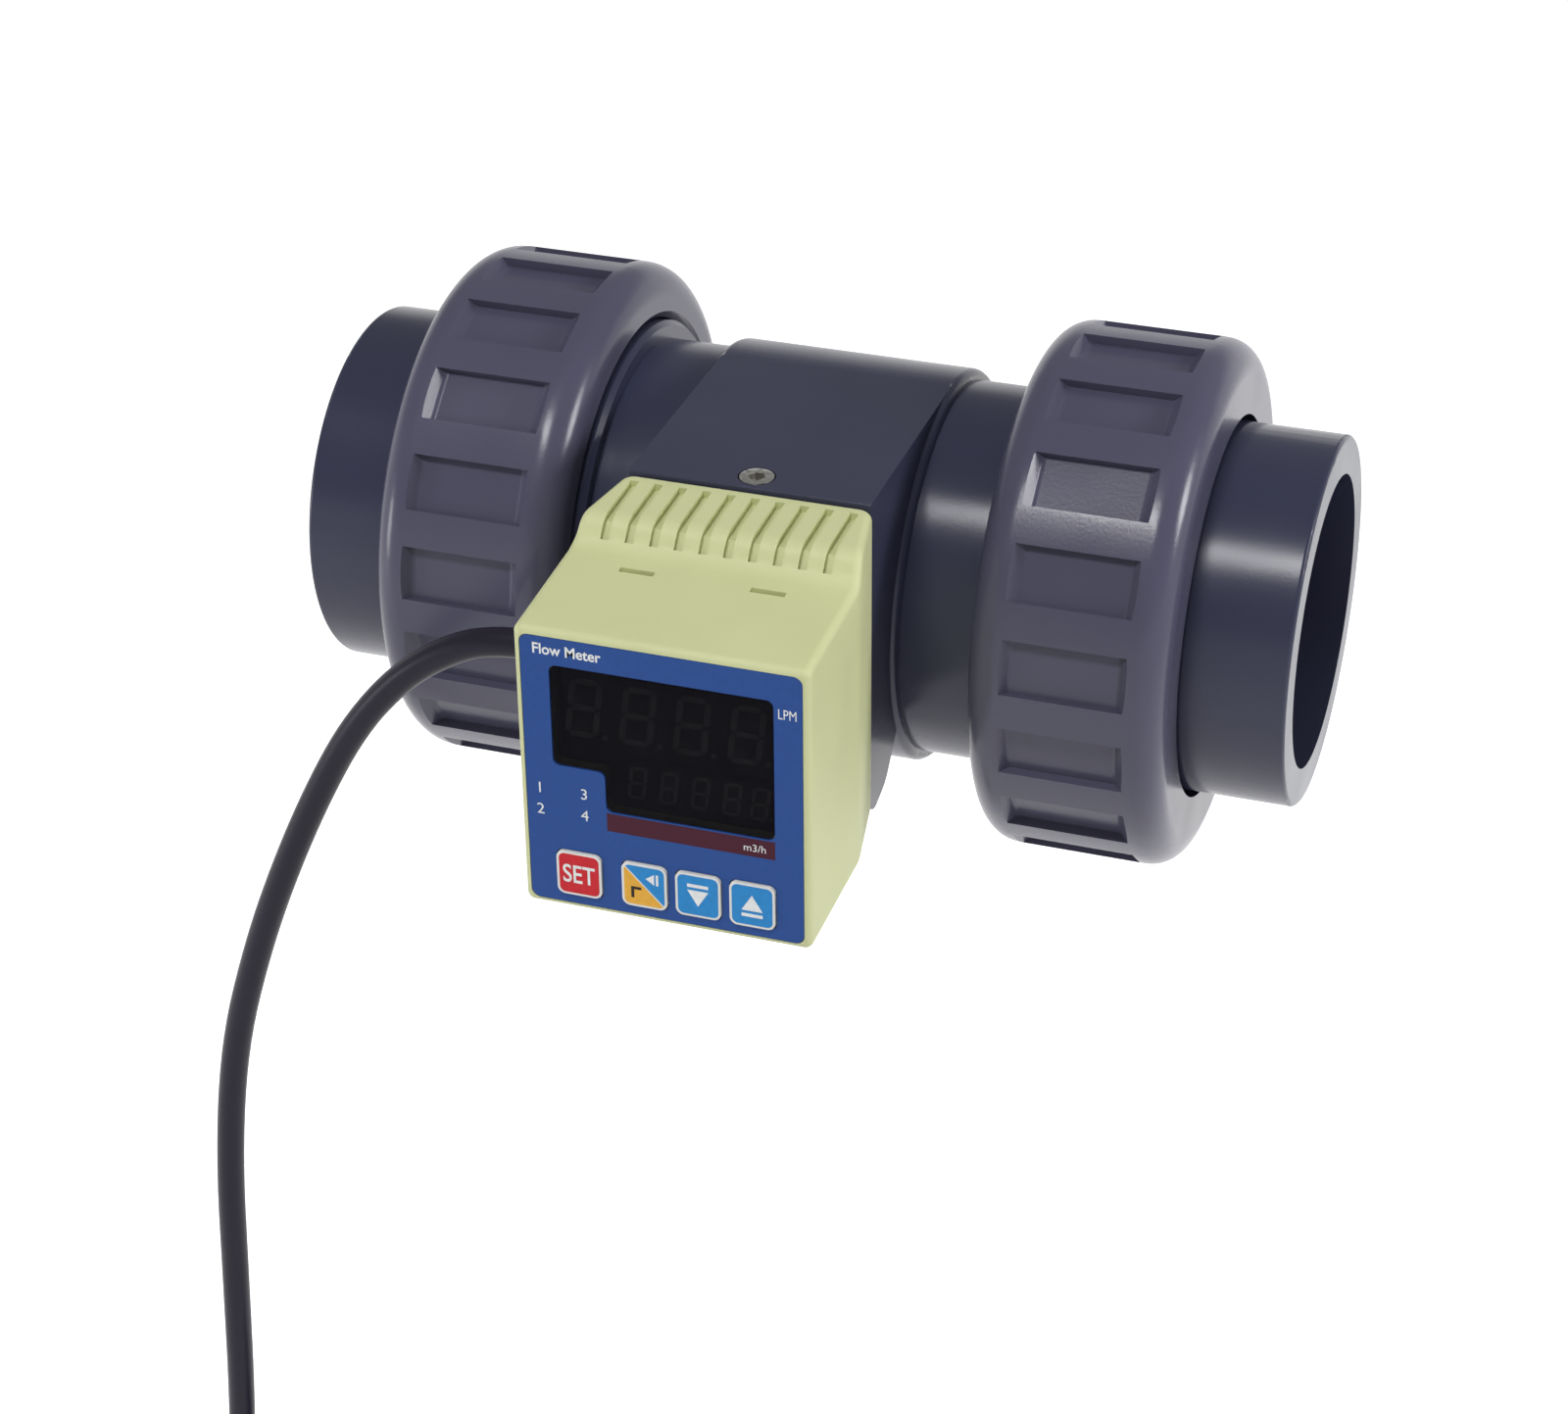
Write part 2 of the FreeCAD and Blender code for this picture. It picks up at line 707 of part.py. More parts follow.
def paddle_wheel():
    """Hub with flat paddles about the axle; each paddle has a round seat for a magnet."""
    body = place(new_body("paddle_wheel"), MID, f"-{AXLE_Y}")
    hub = sketch_on(body, "XY_Plane", "hub")
    circle(hub, "0", "0", "hub_diameter / 2")
    pad(body, hub, "paddle_height", "hub_turned", both=True)
    blade = sketch_on(body, "XY_Plane", "paddle")
    outline(blade, [
        ("0", "-paddle_thickness / 2"),
        ("paddle_radius", "-paddle_thickness / 2", "paddle_thickness / 3"),
        ("paddle_radius", "paddle_thickness / 2", "paddle_thickness / 3"),
        ("0", "paddle_thickness / 2"),
    ])
    paddle = pad(body, blade, "paddle_height", "paddle_moulded", both=True)
    seat = sketch_on(body, "XZ_Plane", "magnet_seat")
    circle(seat, "magnet_orbit", "0", "magnet_diameter / 2")
    magnet_seat = pocket(body, seat, "paddle_thickness + 1", "magnet_seat_cut", both=True)
    polar(body, [paddle, magnet_seat], "Z_Axis", "paddle_count", "paddles")
    bore = sketch_on(body, "XY_Plane", "hub_bore")
    circle(bore, "0", "0", "axle_diameter / 2 + axle_clearance")
    pocket(body, bore, "paddle_height + 1", "hub_bore_cut", both=True)
    return body


def rotor_magnets():
    magnets = []
    for number in range(round(value("paddle_count"))):
        swing = f"({number} * 360 deg / paddle_count)"
        swung = FreeCAD.Rotation(Z_AXIS, number * 360 / value("paddle_count"))
        magnets.append(cylinder(
            f"rotor_magnet_{number + 1}", "magnet_diameter / 2 - magnet_clearance", "paddle_thickness",
            f"{MID} + magnet_orbit * cos({swing}) - paddle_thickness / 2 * sin({swing})",
            f"-{AXLE_Y} + magnet_orbit * sin({swing}) + paddle_thickness / 2 * cos({swing})", "0",
            swung * Z_TO_FRONT))
    return group("rotor_magnets", magnets)


def lock_screw():
    """Socket-head screw that drops through the pad into the insert's flange."""
    screw_y = f"(lock_screw_setback - {PAD_Y})"
    tip = f"({FLANGE_R} - lock_screw_bite)"
    head_seat = f"({SLEEVE_R} - lock_screw_head_height)"
    shank = cylinder("lock_screw_shank_turned", "lock_screw_shank / 2", f"{head_seat} - {tip}",
                     MID, screw_y, tip)
    cap = cylinder("lock_screw_cap", "lock_screw_head / 2", "lock_screw_head_height", MID, screw_y, head_seat)
    key_hole = hexagon("lock_screw_key_hole", "lock_screw_key", "lock_screw_head_height",
                       MID, screw_y, f"{head_seat} + lock_screw_head_height / 3")
    return cut("lock_screw", fuse("lock_screw_blank", [shank, cap]), key_hole)


def ring_nut():
    """Hexagon nut that clamps the back plate to the insert's neck."""
    at = (MID, f"-{PAD_Y} - back_plate_thickness", "0", Z_TO_FRONT)
    blank = hexagon("ring_nut_blank", "ring_nut_width", "ring_nut_height", *at)
    hole = cylinder("ring_nut_hole", "insert_neck / 2 + insert_clearance", "ring_nut_height", *at)
    return cut("insert_ring_nut", blank, hole)


# Display case

def case_side(wall, front, back):
    """The case's side outline: depth behind the face, and height from the face's centre."""
    foot = f"case_depth - hump_depth + ({wall}) * ramp_run / hump_height"
    return {
        "front_low": (front, f"{wall} - {CASE_TOP}"),
        "back_low": (back, f"{wall} + belly_rise - {CASE_TOP}"),
        "back_high": (back, f"{CASE_TOP} + hump_height - ({wall})"),
        "crest": (f"{foot} + ramp_run", f"{CASE_TOP} + hump_height - hump_fall - ({wall})"),
        "foot": (foot, f"{CASE_TOP} + top_rise - ({wall})"),
        "front_high": (front, f"{CASE_TOP} - ({wall})"),
    }


def case_plan(wall, back):
    """The right half of the case seen from above: straight sides, drawn in behind the hump's foot."""
    return [
        (f"{CASE_HALF} - ({wall})", "case_depth - hump_depth"),
        (f"{CASE_HALF} - side_taper - ({wall})", back),
    ]


def trim_to_plan(body, name, front, back, wall, roundings=()):
    """Cut away all that lies outside the plan outline, with the roundings of its bend and back corner."""
    right = case_plan(wall, back)
    if roundings:
        right = [corner + (rounding,) for corner, rounding in zip(right, roundings)]
    plan = [(f"{CASE_HALF} - ({wall})", front)] + right
    left = [(f"-({corner[0]})",) + corner[1:] for corner in plan[::-1]]
    sketch = sketch_on(body, "XY_Plane", f"{name}_plan")
    outline(sketch, plan + left)
    outline(sketch, block("0", "case_depth / 2", "2 * face_width", "2 * case_depth"))
    return pocket(body, sketch, "3 * face_height", f"{name}_plan_cut", both=True)


def window_corners(grow):
    """The L-shaped window, grown by a margin on every side."""
    left = f"-{WINDOW_HALF} - ({grow})"
    right = f"{WINDOW_HALF} + ({grow})"
    low = f"{WINDOW_BOTTOM} - ({grow})"
    high = f"{WINDOW_TOP} + ({grow})"
    step_x = f"{STEP_X} - ({grow})"
    step_z = f"{STEP_Z} - ({grow})"
    corner = "window_corner"
    return [
        (step_x, low, corner), (right, low, corner), (right, high, corner), (left, high, corner),
        (left, step_z, corner), (step_x, step_z, corner),
    ]


def key_corners(key, grow):
    width = f"{KEY_WIDTH} + 2 * ({grow})"
    height = f"key_height + 2 * ({grow})"
    return block(KEYS[key], KEY_ROW, width, height, "key_corner")


def case_outside():
    """The moulded outside: sloped top with a vented hump behind, latch slits and front cut-outs."""
    body = head_body("case_outside")
    side = sketch_on(body, "YZ_Plane", "case_side")
    spots = case_side("0", "0", "case_depth")
    bends = ("crest", "foot")
    outline(side, [spot + ("hump_rounding",) if name in bends else spot for name, spot in spots.items()])
    pad(body, side, "face_width", "case_block", both=True)
    trim_to_plan(body, "case", "0", "case_depth", "0", ("side_bend", "back_corner"))
    half = value(CASE_HALF)

    def outer(bounds):
        """True of the face's four edges, and of the edges that run back from them."""
        runs_back = bounds.YMax - bounds.YMin > TINY
        return bounds.YMax < TINY or (runs_back and abs(bounds.Center.x) > half / 2)

    round_edges(body, outer, "edge_rounding", "case_edges")

    spots = case_side("vent_depth", "0", "case_depth - vent_back_margin")
    vent = sketch_on(body, "YZ_Plane", "vent", "vent_pitch * (1 - vent_count) / 2")
    above = f"{CASE_TOP} + 2 * hump_height"
    foot_y, foot_z = spots["foot"]
    outline(vent, [
        (foot_y, f"{foot_z} + vent_lift"), spots["crest"], spots["back_high"],
        ("case_depth - vent_back_margin", above), (foot_y, above),
    ])
    first = pocket(body, vent, "vent_width", "vent_cut", both=True)
    vents = body.newObject("PartDesign::LinearPattern", "vents")
    vents.Originals = [first]
    across = next(item for item in body.Origin.OriginFeatures if item.Role == "X_Axis")
    vents.Direction = (across, [""])
    bind(vents, Length="vent_pitch * (vent_count - 1)", Occurrences="vent_count")
    body.Tip = vents

    for side_sign in ("-", ""):
        slit_name = "slit_left" if side_sign else "slit_right"
        slit = sketch_on(body, "XY_Plane", slit_name, f"{CASE_TOP} + hump_height")
        outline(slit, block(f"{side_sign}slit_spread / 2", "case_depth - slit_from_back",
                            "slit_length", "slit_width"))
        pocket(body, slit, "hump_height + case_wall + 1", f"{slit.Name}_cut")

    recess = face_sketch(body, "overlay_recess")
    outline(recess, block("0", "0", "face_width - 2 * overlay_margin", "face_height - 2 * overlay_margin",
                          "overlay_corner"))
    pocket(body, recess, "overlay_recess", "overlay_recess_cut")
    window = face_sketch(body, "window_hole")
    outline(window, window_corners("0"))
    pocket(body, window, "front_wall + 1", "window_hole_cut")
    for key in KEYS:
        hole = face_sketch(body, f"{key}_hole")
        outline(hole, key_corners(key, "key_clearance"))
        pocket(body, hole, "front_wall + 1", f"{key}_hole_cut")
    return body


def case_inside():
    """The room inside the case, open at the back."""
    body = head_body("case_inside")
    side = sketch_on(body, "YZ_Plane", "inside_side")
    outline(side, list(case_side("case_wall", "front_wall", "case_depth + 1").values()))
    pad(body, side, "face_width", "inside_block", both=True)
    trim_to_plan(body, "inside", "front_wall", "case_depth + 1", "case_wall")
    return body


def case_shell():
    """The case with two bosses for the front board, and a round hole with a flat seat for the gland's nut."""
    hollow = cut("case_hollow", case_outside(), case_inside())
    bosses, pilots = [], []
    for name, sign in (("left", "-"), ("right", "")):
        at = head(f"{sign}{BOSS_X}", "front_wall", "-boss_drop") + (Z_TO_BACK,)
        height = f"{FRONT_BOARD} - front_wall"
        bosses.append(cylinder(f"boss_{name}", "boss_diameter / 2", height, *at))
        pilots.append(cylinder(f"pilot_{name}", "board_screw / 2 + fit_clearance", height, *at))
    gland_hole = cylinder("gland_hole", "gland_body / 2 + fit_clearance", "2 * case_wall",
                          *head(f"-{CASE_HALF} - case_wall / 2", GLAND_DEPTH, "gland_height"), Z_TO_RIGHT)
    gland_seat = cylinder("gland_seat", "gland_nut_width / sqrt(3) + fit_clearance", "gland_tail",
                          *head(f"case_wall - {CASE_HALF}", GLAND_DEPTH, "gland_height"), Z_TO_RIGHT)
    with_bosses = fuse("case_with_bosses", [hollow] + bosses)
    gland_room = fuse("gland_room", [gland_hole, gland_seat])
    return cut("case_shell", with_bosses, group("case_holes", pilots + [gland_room]))


def back_plate():
    """Plate that closes the case, with a hole for the insert's neck and two snap arms in the slits."""
    body = head_body("back_plate")
    low = f"(case_wall + belly_rise - {CASE_TOP} + fit_clearance)"
    high = f"({CASE_TOP} + hump_height - hump_fall - case_wall - fit_clearance)"
    width = "(face_width - 2 * side_taper - 2 * case_wall - 2 * fit_clearance)"
    plate = face_sketch(body, "plate", "case_depth")
    outline(plate, block("0", f"({high} + {low}) / 2", width, f"{high} - {low}"))
    circle(plate, "0", "-face_rise", "insert_neck / 2 + insert_clearance")
    pad(body, plate, "back_plate_thickness", "plate_moulded")
    arm_top = f"({CASE_TOP} - case_wall - latch_drop)"
    slit_y = "(case_depth - slit_from_back)"
    plate_front = "(case_depth - back_plate_thickness)"
    nose = f"({slit_y} - slit_width / 2 + fit_clearance)"
    for name, sign in (("left", "-"), ("right", "")):
        arm = sketch_on(body, "YZ_Plane", f"latch_{name}", f"{sign}slit_spread / 2")
        outline(arm, [
            (nose, f"{arm_top} - latch_thickness"),
            (plate_front, f"{arm_top} - latch_thickness"),
            (plate_front, arm_top),
            (f"{slit_y} + slit_width / 2 - fit_clearance", arm_top),
            (f"{slit_y} + slit_width / 2 - fit_clearance", f"{CASE_TOP} + top_rise / 3"),
            (nose, f"{CASE_TOP}"),
        ])
        pad(body, arm, "latch_width", f"latch_{name}_moulded", both=True)
    return body


def front_overlay():
    """Thin printed sheet in the face's recess, cut out for the window and the keys."""
    body = head_body("front_overlay")
    sheet_sketch = face_sketch(body, "overlay_outline", "overlay_recess")
    margin = "2 * (overlay_margin + fit_clearance)"
    outline(sheet_sketch, block("0", "0", f"face_width - {margin}", f"face_height - {margin}",
                                "overlay_corner"))
    outline(sheet_sketch, window_corners("0"))
    for key in KEYS:
        outline(sheet_sketch, key_corners(key, "key_clearance"))
    pad(body, sheet_sketch, "overlay_thickness", "overlay_cut")
    return body


def display_window():
    """Smoked lens in the L-shaped hole, with a lip behind the front wall."""
    body = head_body("display_window")
    lens = face_sketch(body, "lens", "front_wall")
    outline(lens, window_corners("-fit_clearance"))
    pad(body, lens, "front_wall - overlay_recess + overlay_thickness - window_recess", "lens_moulded")
    lip = face_sketch(body, "lens_lip", "front_wall")
    outline(lip, window_corners("window_lip"))
    pad(body, lip, "window_lip", "lens_lip_moulded", back=True)
    return body


def push_key(label):
    """Key cap that stands a little proud of the overlay, with a lip and a stem behind the wall."""
    body = head_body(label)
    cap = face_sketch(body, f"{label}_cap", "front_wall + key_clearance")
    outline(cap, key_corners(label, "0"))
    cap_height = "front_wall + key_clearance - overlay_recess + overlay_thickness + key_proud"
    pad(body, cap, cap_height, f"{label}_moulded")
    lip = face_sketch(body, f"{label}_lip", "front_wall + key_clearance")
    outline(lip, key_corners(label, "key_lip"))
    pad(body, lip, "key_lip_thickness", f"{label}_lip_moulded", back=True)
    stem = face_sketch(body, f"{label}_stem", "front_wall + key_clearance")
    circle(stem, KEYS[label], KEY_ROW, "key_stem / 2")
    button_top = f"({FRONT_BOARD} - switch_height - switch_button_height)"
    stem_length = f"{button_top} - front_wall - 2 * key_clearance - key_travel"
    pad(body, stem, stem_length, f"{label}_stem_moulded", back=True)
    return body


# Electronics in the case

def digit_module(label, length, x, low, high):
    """Block of seven-segment digits between the front board and the lens."""
    height = f"({high}) - ({low})"
    return box(label, length, "digit_depth", height, *head(x, DIGIT_FACE, f"(({high}) + ({low})) / 2"))


def key_switches():
    switches = []
    for key, x in KEYS.items():
        base = box(f"{key}_switch_base", "switch_size", "switch_height", "switch_size",
                   *head(x, f"{FRONT_BOARD} - switch_height", KEY_ROW))
        button = cylinder(f"{key}_switch_button", "switch_button / 2", "switch_button_height",
                          *head(x, f"{FRONT_BOARD} - switch_height", KEY_ROW), Z_TO_FRONT)
        switches.append(fuse(f"{key}_switch", [base, button]))
    return group("key_switches", switches)


def front_board():
    """Board that carries the digits and the key switches, screwed to the two bosses."""
    body = head_body("front_board")
    plate = face_sketch(body, "front_board_outline", FRONT_BOARD)
    width = "(face_width - 2 * case_wall - 2 * front_board_inset)"
    height = "(face_height - 2 * case_wall - 2 * front_board_inset)"
    outline(plate, block("0", "0", width, height))
    for sign in ("-", ""):
        circle(plate, f"{sign}{BOSS_X}", "-boss_drop", "board_screw / 2 + fit_clearance")
    pad(body, plate, "board_thickness", "front_board_cut", back=True)
    return body


def board_screws():
    screws = []
    for name, sign in (("left", "-"), ("right", "")):
        at = head(f"{sign}{BOSS_X}", FRONT_BOARD_BACK, "-boss_drop")
        shank = cylinder(f"board_screw_shank_{name}", "board_screw / 2",
                         "board_screw_length + board_thickness", *at, Z_TO_FRONT)
        cap = cylinder(f"board_screw_head_{name}", "board_screw_head / 2", "board_screw_head_height",
                       *at, Z_TO_BACK)
        screws.append(fuse(f"board_screw_{name}", [shank, cap]))
    return group("board_screws", screws)


# Cable

def gland():
    """Bush turned about X: flange on the case's left wall, tapered nose outside, tail inside."""
    body = new_body("cable_gland")
    section = sketch_on(body, "XZ_Plane", "gland_section")
    bore = "(cable_diameter / 2 + axle_clearance)"
    outline(section, [
        ("case_wall + gland_tail", bore),
        ("case_wall + gland_tail", "gland_body / 2"),
        ("0", "gland_body / 2"),
        ("0", "gland_flange / 2"),
        ("-gland_flange_thickness", "gland_flange / 2"),
        ("-gland_flange_thickness", "gland_body / 2"),
        ("-gland_nose_length", "gland_nose / 2"),
        ("-gland_nose_length", bore),
    ])
    revolve(body, section, "H_Axis", "gland_turned")
    return place(body, *head(f"-{CASE_HALF}", GLAND_DEPTH, "gland_height"))


def gland_nut():
    """Hexagon nut that holds the gland from inside the case."""
    at = head(f"case_wall - {CASE_HALF}", GLAND_DEPTH, "gland_height") + (Z_TO_RIGHT,)
    blank = hexagon("gland_nut_blank", "gland_nut_width", "gland_nut_height", *at)
    hole = cylinder("gland_nut_hole", "gland_body / 2 + fit_clearance", "gland_nut_height", *at)
    return cut("gland_nut", blank, hole)


def route_wire(points):
    """Straight runs joined by tangent arcs, each as large as its two runs allow."""
    edges = []
    last = points[0]
    for before, spot, after in zip(points, points[1:], points[2:]):
        back, ahead = before - spot, after - spot
        half_turn = (math.pi - back.getAngle(ahead)) / 2
        reach = ARC_SHARE * min(back.Length, ahead.Length)
        radius = reach / math.tan(half_turn)
        back.normalize()
        ahead.normalize()
        start, end = spot + back * reach, spot + ahead * reach
        centre = spot + (back + ahead).normalize() * math.hypot(reach, radius)
        middle = centre + (spot - centre).normalize() * radius
        edges += [Part.LineSegment(last, start).toShape(), Part.Arc(start, middle, end).toShape()]
        last = end
        print(f"cable bend radius {radius:.1f} mm")
    edges.append(Part.LineSegment(last, points[-1]).toShape())
    return Part.Wire(edges)


def signal_cable():
    """Free stretch of the cable, from the gland's mouth to the coil."""
    mouth = head(f"-{CASE_HALF} - gland_nose_length", GLAND_DEPTH, "gland_height")
    points = [V(*[value(text) for text in mouth])] + [V(*point) for point in CABLE_ROUTE]
    wire = route_wire(points)
    radius = value("cable_diameter") / 2
    start = Part.Circle(points[0], points[1] - points[0], radius).toShape()
    tube = doc.addObject("Part::Feature", "signal_cable")
    tube.Shape = wire.makePipeShell([Part.Wire([start])], True, True)
    expected = math.pi * radius ** 2 * wire.Length
    print(f"cable tube length {wire.Length:.1f} mm, volume ratio {tube.Shape.Volume / expected:.4f}")
    return tube


def cable_tail():
    """Straight stretch of the cable through the gland to the terminal block."""
    start = head(f"-{CASE_HALF} - gland_nose_length", GLAND_DEPTH, "gland_height")
    length = f"{CASE_HALF} + gland_nose_length - {TERMINAL_SIDE}"
    return cylinder("cable_tail", "cable_diameter / 2", length, *start, Z_TO_RIGHT)


def coil_place():
    """The coil hangs in the XZ plane, with its left side under the end of the free stretch."""
    x, y, z = CABLE_ROUTE[-1]
    return f"{x} + coil_diameter / 2", f"{y}", f"{z} - coil_lap"


def cable_coil():
    ring = doc.addObject("Part::Torus", "cable_coil")
    bind(ring, Radius1="coil_diameter / 2", Radius2="coil_section / 2")
    return place(ring, *coil_place(), Z_TO_FRONT)


def cable_tie():
    """Band round the coil's strands at the top of the coil."""
    x, y, z = coil_place()
    at = (f"{x} - tie_width / 2", y, f"{z} + coil_diameter / 2", Z_TO_RIGHT)
    inner = "coil_section / 2 + tie_clearance"
    band = cylinder("cable_tie_band", f"{inner} + tie_thickness", "tie_width", *at)
    return cut("cable_tie", band, cylinder("cable_tie_hole", inner, "tie_width", *at))


def lead_ends():
    """Stripped leads that hang from the coil's left side, in front of the first turn."""
    x, y, z = coil_place()
    end_x = f"{x} - coil_diameter / 2 - lead_out"
    end_y = f"{y} - lead_front"
    leads = []
    for number, (across, along) in enumerate(((-1, -1), (1, -1), (1, 1), (-1, 1)), start=1):
        leads.append(cylinder(
            f"lead_{number}", "lead_diameter / 2", "lead_length",
            f"{end_x} + ({across}) * lead_spread / 2", f"{end_y} + ({along}) * lead_spread / 2",
            f"{z} - lead_drop - lead_length"))
    return group("lead_ends", leads)


# All sub-parts
parts = [
    end_connector("inlet_end_connector", at_inlet),
    end_connector("outlet_end_connector", at_outlet),
    union_nut("inlet_union_nut", at_inlet),
    union_nut("outlet_union_nut", at_outlet),
    union_seal("inlet_o_ring", f"{UNION_FACE} + (seal_section + seal_clearance) / 2"),
    union_seal("outlet_o_ring", f"total_length - {UNION_FACE} - (seal_section + seal_clearance) / 2"),
    meter_body(),
    sensor_insert(),
    insert_seals(),
    paddle_wheel(),
    rotor_magnets(),
    cylinder("rotor_axle", "axle_diameter / 2", "axle_length", MID, f"-{AXLE_Y}", "-axle_length / 2"),
    box("hall_sensor", "chip_width", "chip_thickness", "chip_height",
        MID, f"-{CAVITY_FLOOR} - chip_thickness", "0"),
    box("sensor_board", "sensor_board_width", "board_thickness", "sensor_board_height",
        MID, f"-{CAVITY_FLOOR} - chip_thickness - board_thickness", "0"),
    lock_screw(),
    ring_nut(),
    case_shell(),
    back_plate(),
    front_overlay(),
    display_window(),
    *[push_key(key) for key in KEYS],
    digit_module("upper_digits", "upper_digit_length", "0",
                 f"{STEP_Z} + digit_margin", f"{WINDOW_TOP} - digit_margin"),
    digit_module("lower_digits", "lower_digit_length", f"({STEP_X} + {WINDOW_HALF}) / 2",
                 WINDOW_BOTTOM, f"{STEP_Z} + digit_margin / 2"),
    front_board(),
    key_switches(),
    board_screws(),
    box("rear_board", f"2 * {TERMINAL_SIDE}", "board_thickness", "rear_board_height",
        *head("0", REAR_BOARD, "0")),
    box("board_header", "header_width", f"{REAR_BOARD} - {FRONT_BOARD_BACK}", "header_height",
        *head("0", FRONT_BOARD_BACK, "-header_drop")),
    box("terminal_block", "terminal_width", "terminal_depth", "terminal_height",
        *head(f"terminal_width / 2 - {TERMINAL_SIDE}", f"{REAR_BOARD} - terminal_depth", "gland_height")),
    gland(),
    gland_nut(),
    cable_tail(),
    signal_cable(),
    cable_coil(),
    cable_tie(),
    lead_ends(),
]
doc.recompute()

failed = [item.Name for item in doc.Objects if "Invalid" in item.State or "Error" in item.State]
if failed:
    raise RuntimeError(f"failed objects: {failed}")
for part in parts:
    if part.Shape.isNull() or not part.Shape.isValid() or not part.Shape.Solids:
        raise RuntimeError(f"bad shape: {part.Label}")

os.makedirs("parts", exist_ok=True)
for part in parts:
    part.Shape.exportStep(f"parts/{part.Label}.step")
    print(f"{part.Label}: {len(part.Shape.Solids)} solids, {part.Shape.Volume / 1000:.2f} cm3")
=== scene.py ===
import math

import bmesh
import bpy
from mathutils import Matrix, Vector


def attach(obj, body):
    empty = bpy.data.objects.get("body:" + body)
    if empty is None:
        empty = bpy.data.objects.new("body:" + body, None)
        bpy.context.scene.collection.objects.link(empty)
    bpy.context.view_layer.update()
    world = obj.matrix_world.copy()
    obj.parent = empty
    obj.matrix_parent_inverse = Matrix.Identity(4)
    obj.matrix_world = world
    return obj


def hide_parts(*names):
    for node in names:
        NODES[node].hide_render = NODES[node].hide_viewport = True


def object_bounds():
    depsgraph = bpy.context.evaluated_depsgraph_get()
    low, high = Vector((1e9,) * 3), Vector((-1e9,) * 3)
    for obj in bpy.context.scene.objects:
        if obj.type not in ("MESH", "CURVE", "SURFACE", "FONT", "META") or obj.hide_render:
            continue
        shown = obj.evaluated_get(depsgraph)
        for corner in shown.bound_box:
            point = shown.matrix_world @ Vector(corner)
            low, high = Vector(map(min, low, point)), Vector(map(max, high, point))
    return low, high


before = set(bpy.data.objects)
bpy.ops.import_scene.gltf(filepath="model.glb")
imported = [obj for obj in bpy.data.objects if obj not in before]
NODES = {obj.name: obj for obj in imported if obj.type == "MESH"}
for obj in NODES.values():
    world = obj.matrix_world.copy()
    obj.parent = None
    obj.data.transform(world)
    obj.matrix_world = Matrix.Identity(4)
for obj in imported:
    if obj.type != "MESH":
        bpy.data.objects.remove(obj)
CAD_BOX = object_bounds()

# Sizes are in millimetres and are multiplied by this; the floor and the lamps are in metres
MM = 0.001


def add(name, data):
    """A new object in the scene."""
    made = bpy.data.objects.new(name, data)
    bpy.context.scene.collection.objects.link(made)
    return made


# Camera at the photograph's place
RIGHT = Vector((0.94794, 0.31851, -0.00893))
UP = Vector((-0.15608, 0.48858, 0.85853))
BACK = Vector((0.27779, -0.81235, 0.51279))
PIPE_MIDDLE = Vector((86, 0, 0))
OFFSET = (9.018, 27.702, -630.9)
SENSOR_WIDTH = 36
FOCAL_LENGTH = 83.18
NEAREST = 0.01
FARTHEST = 20

eye = PIPE_MIDDLE - RIGHT * OFFSET[0] - UP * OFFSET[1] - BACK * OFFSET[2]
turn = Matrix((RIGHT, UP, BACK)).transposed()
camera_data = bpy.data.cameras.new("camera")
camera_data.sensor_width = SENSOR_WIDTH
camera_data.lens = FOCAL_LENGTH
camera_data.clip_start = NEAREST
camera_data.clip_end = FARTHEST
camera = add("camera", camera_data)
camera.matrix_world = Matrix.Translation(eye * MM) @ turn.to_4x4()
bpy.context.scene.camera = camera


# Materials
RAMP_ENDS = (0.3, 0.7)
NOISE_RANGE = (0.25, 0.75)
GRAIN_DEPTH = 0.0002
METAL_TONES = (0.8, 1.1)
INK_TONES = (0.94, 1.04)
INK_SCALE = 900
INK_SPECULAR = 0.18
LENS_TONES = ((0.003, 0.0025, 0.005, 1), (0.005, 0.004, 0.008, 1))
LENS_SCALE = 700
LENS_ROUGH = (0.10, 0.16)
LENS_SPECULAR = 0.05
LENS_ALPHA = 0.7


def srgb(red, green, blue):
    """A colour read as 0 to 255, as a linear RGBA."""
    def linear(part):
        part = part / 255
        return part / 12.92 if part <= 0.04045 else ((part + 0.055) / 1.055) ** 2.4
    return (linear(red), linear(green), linear(blue), 1.0)


def shade(color, factor):
    """A colour made darker or lighter."""
    return tuple(part * factor for part in color[:3]) + (1.0,)


def tree(name):
    """A new material with its nodes, its links and its main shader."""
    made = bpy.data.materials.new(name)
    made.use_nodes = True
    nodes = made.node_tree.nodes
    return made, nodes, made.node_tree.links, nodes["Principled BSDF"]


def noise(nodes, links, scale, detail, stretch=None):
    """A noise texture in the object's frame; the scale is in turns per metre."""
    coordinates = nodes.new("ShaderNodeTexCoord")
    texture = nodes.new("ShaderNodeTexNoise")
    texture.inputs["Scale"].default_value = scale
    texture.inputs["Detail"].default_value = detail
    if stretch:
        mapping = nodes.new("ShaderNodeMapping")
        mapping.inputs["Scale"].default_value = stretch
        links.new(coordinates.outputs["Object"], mapping.inputs["Vector"])
        links.new(mapping.outputs["Vector"], texture.inputs["Vector"])
    else:
        links.new(coordinates.outputs["Object"], texture.inputs["Vector"])
    return texture.outputs["Fac"]


def ramp(nodes, links, source, low, high):
    """Two colours mixed by a texture."""
    made = nodes.new("ShaderNodeValToRGB")
    made.color_ramp.elements[0].position = RAMP_ENDS[0]
    made.color_ramp.elements[0].color = low
    made.color_ramp.elements[1].position = RAMP_ENDS[1]
    made.color_ramp.elements[1].color = high
    links.new(source, made.inputs["Fac"])
    return made.outputs["Color"]


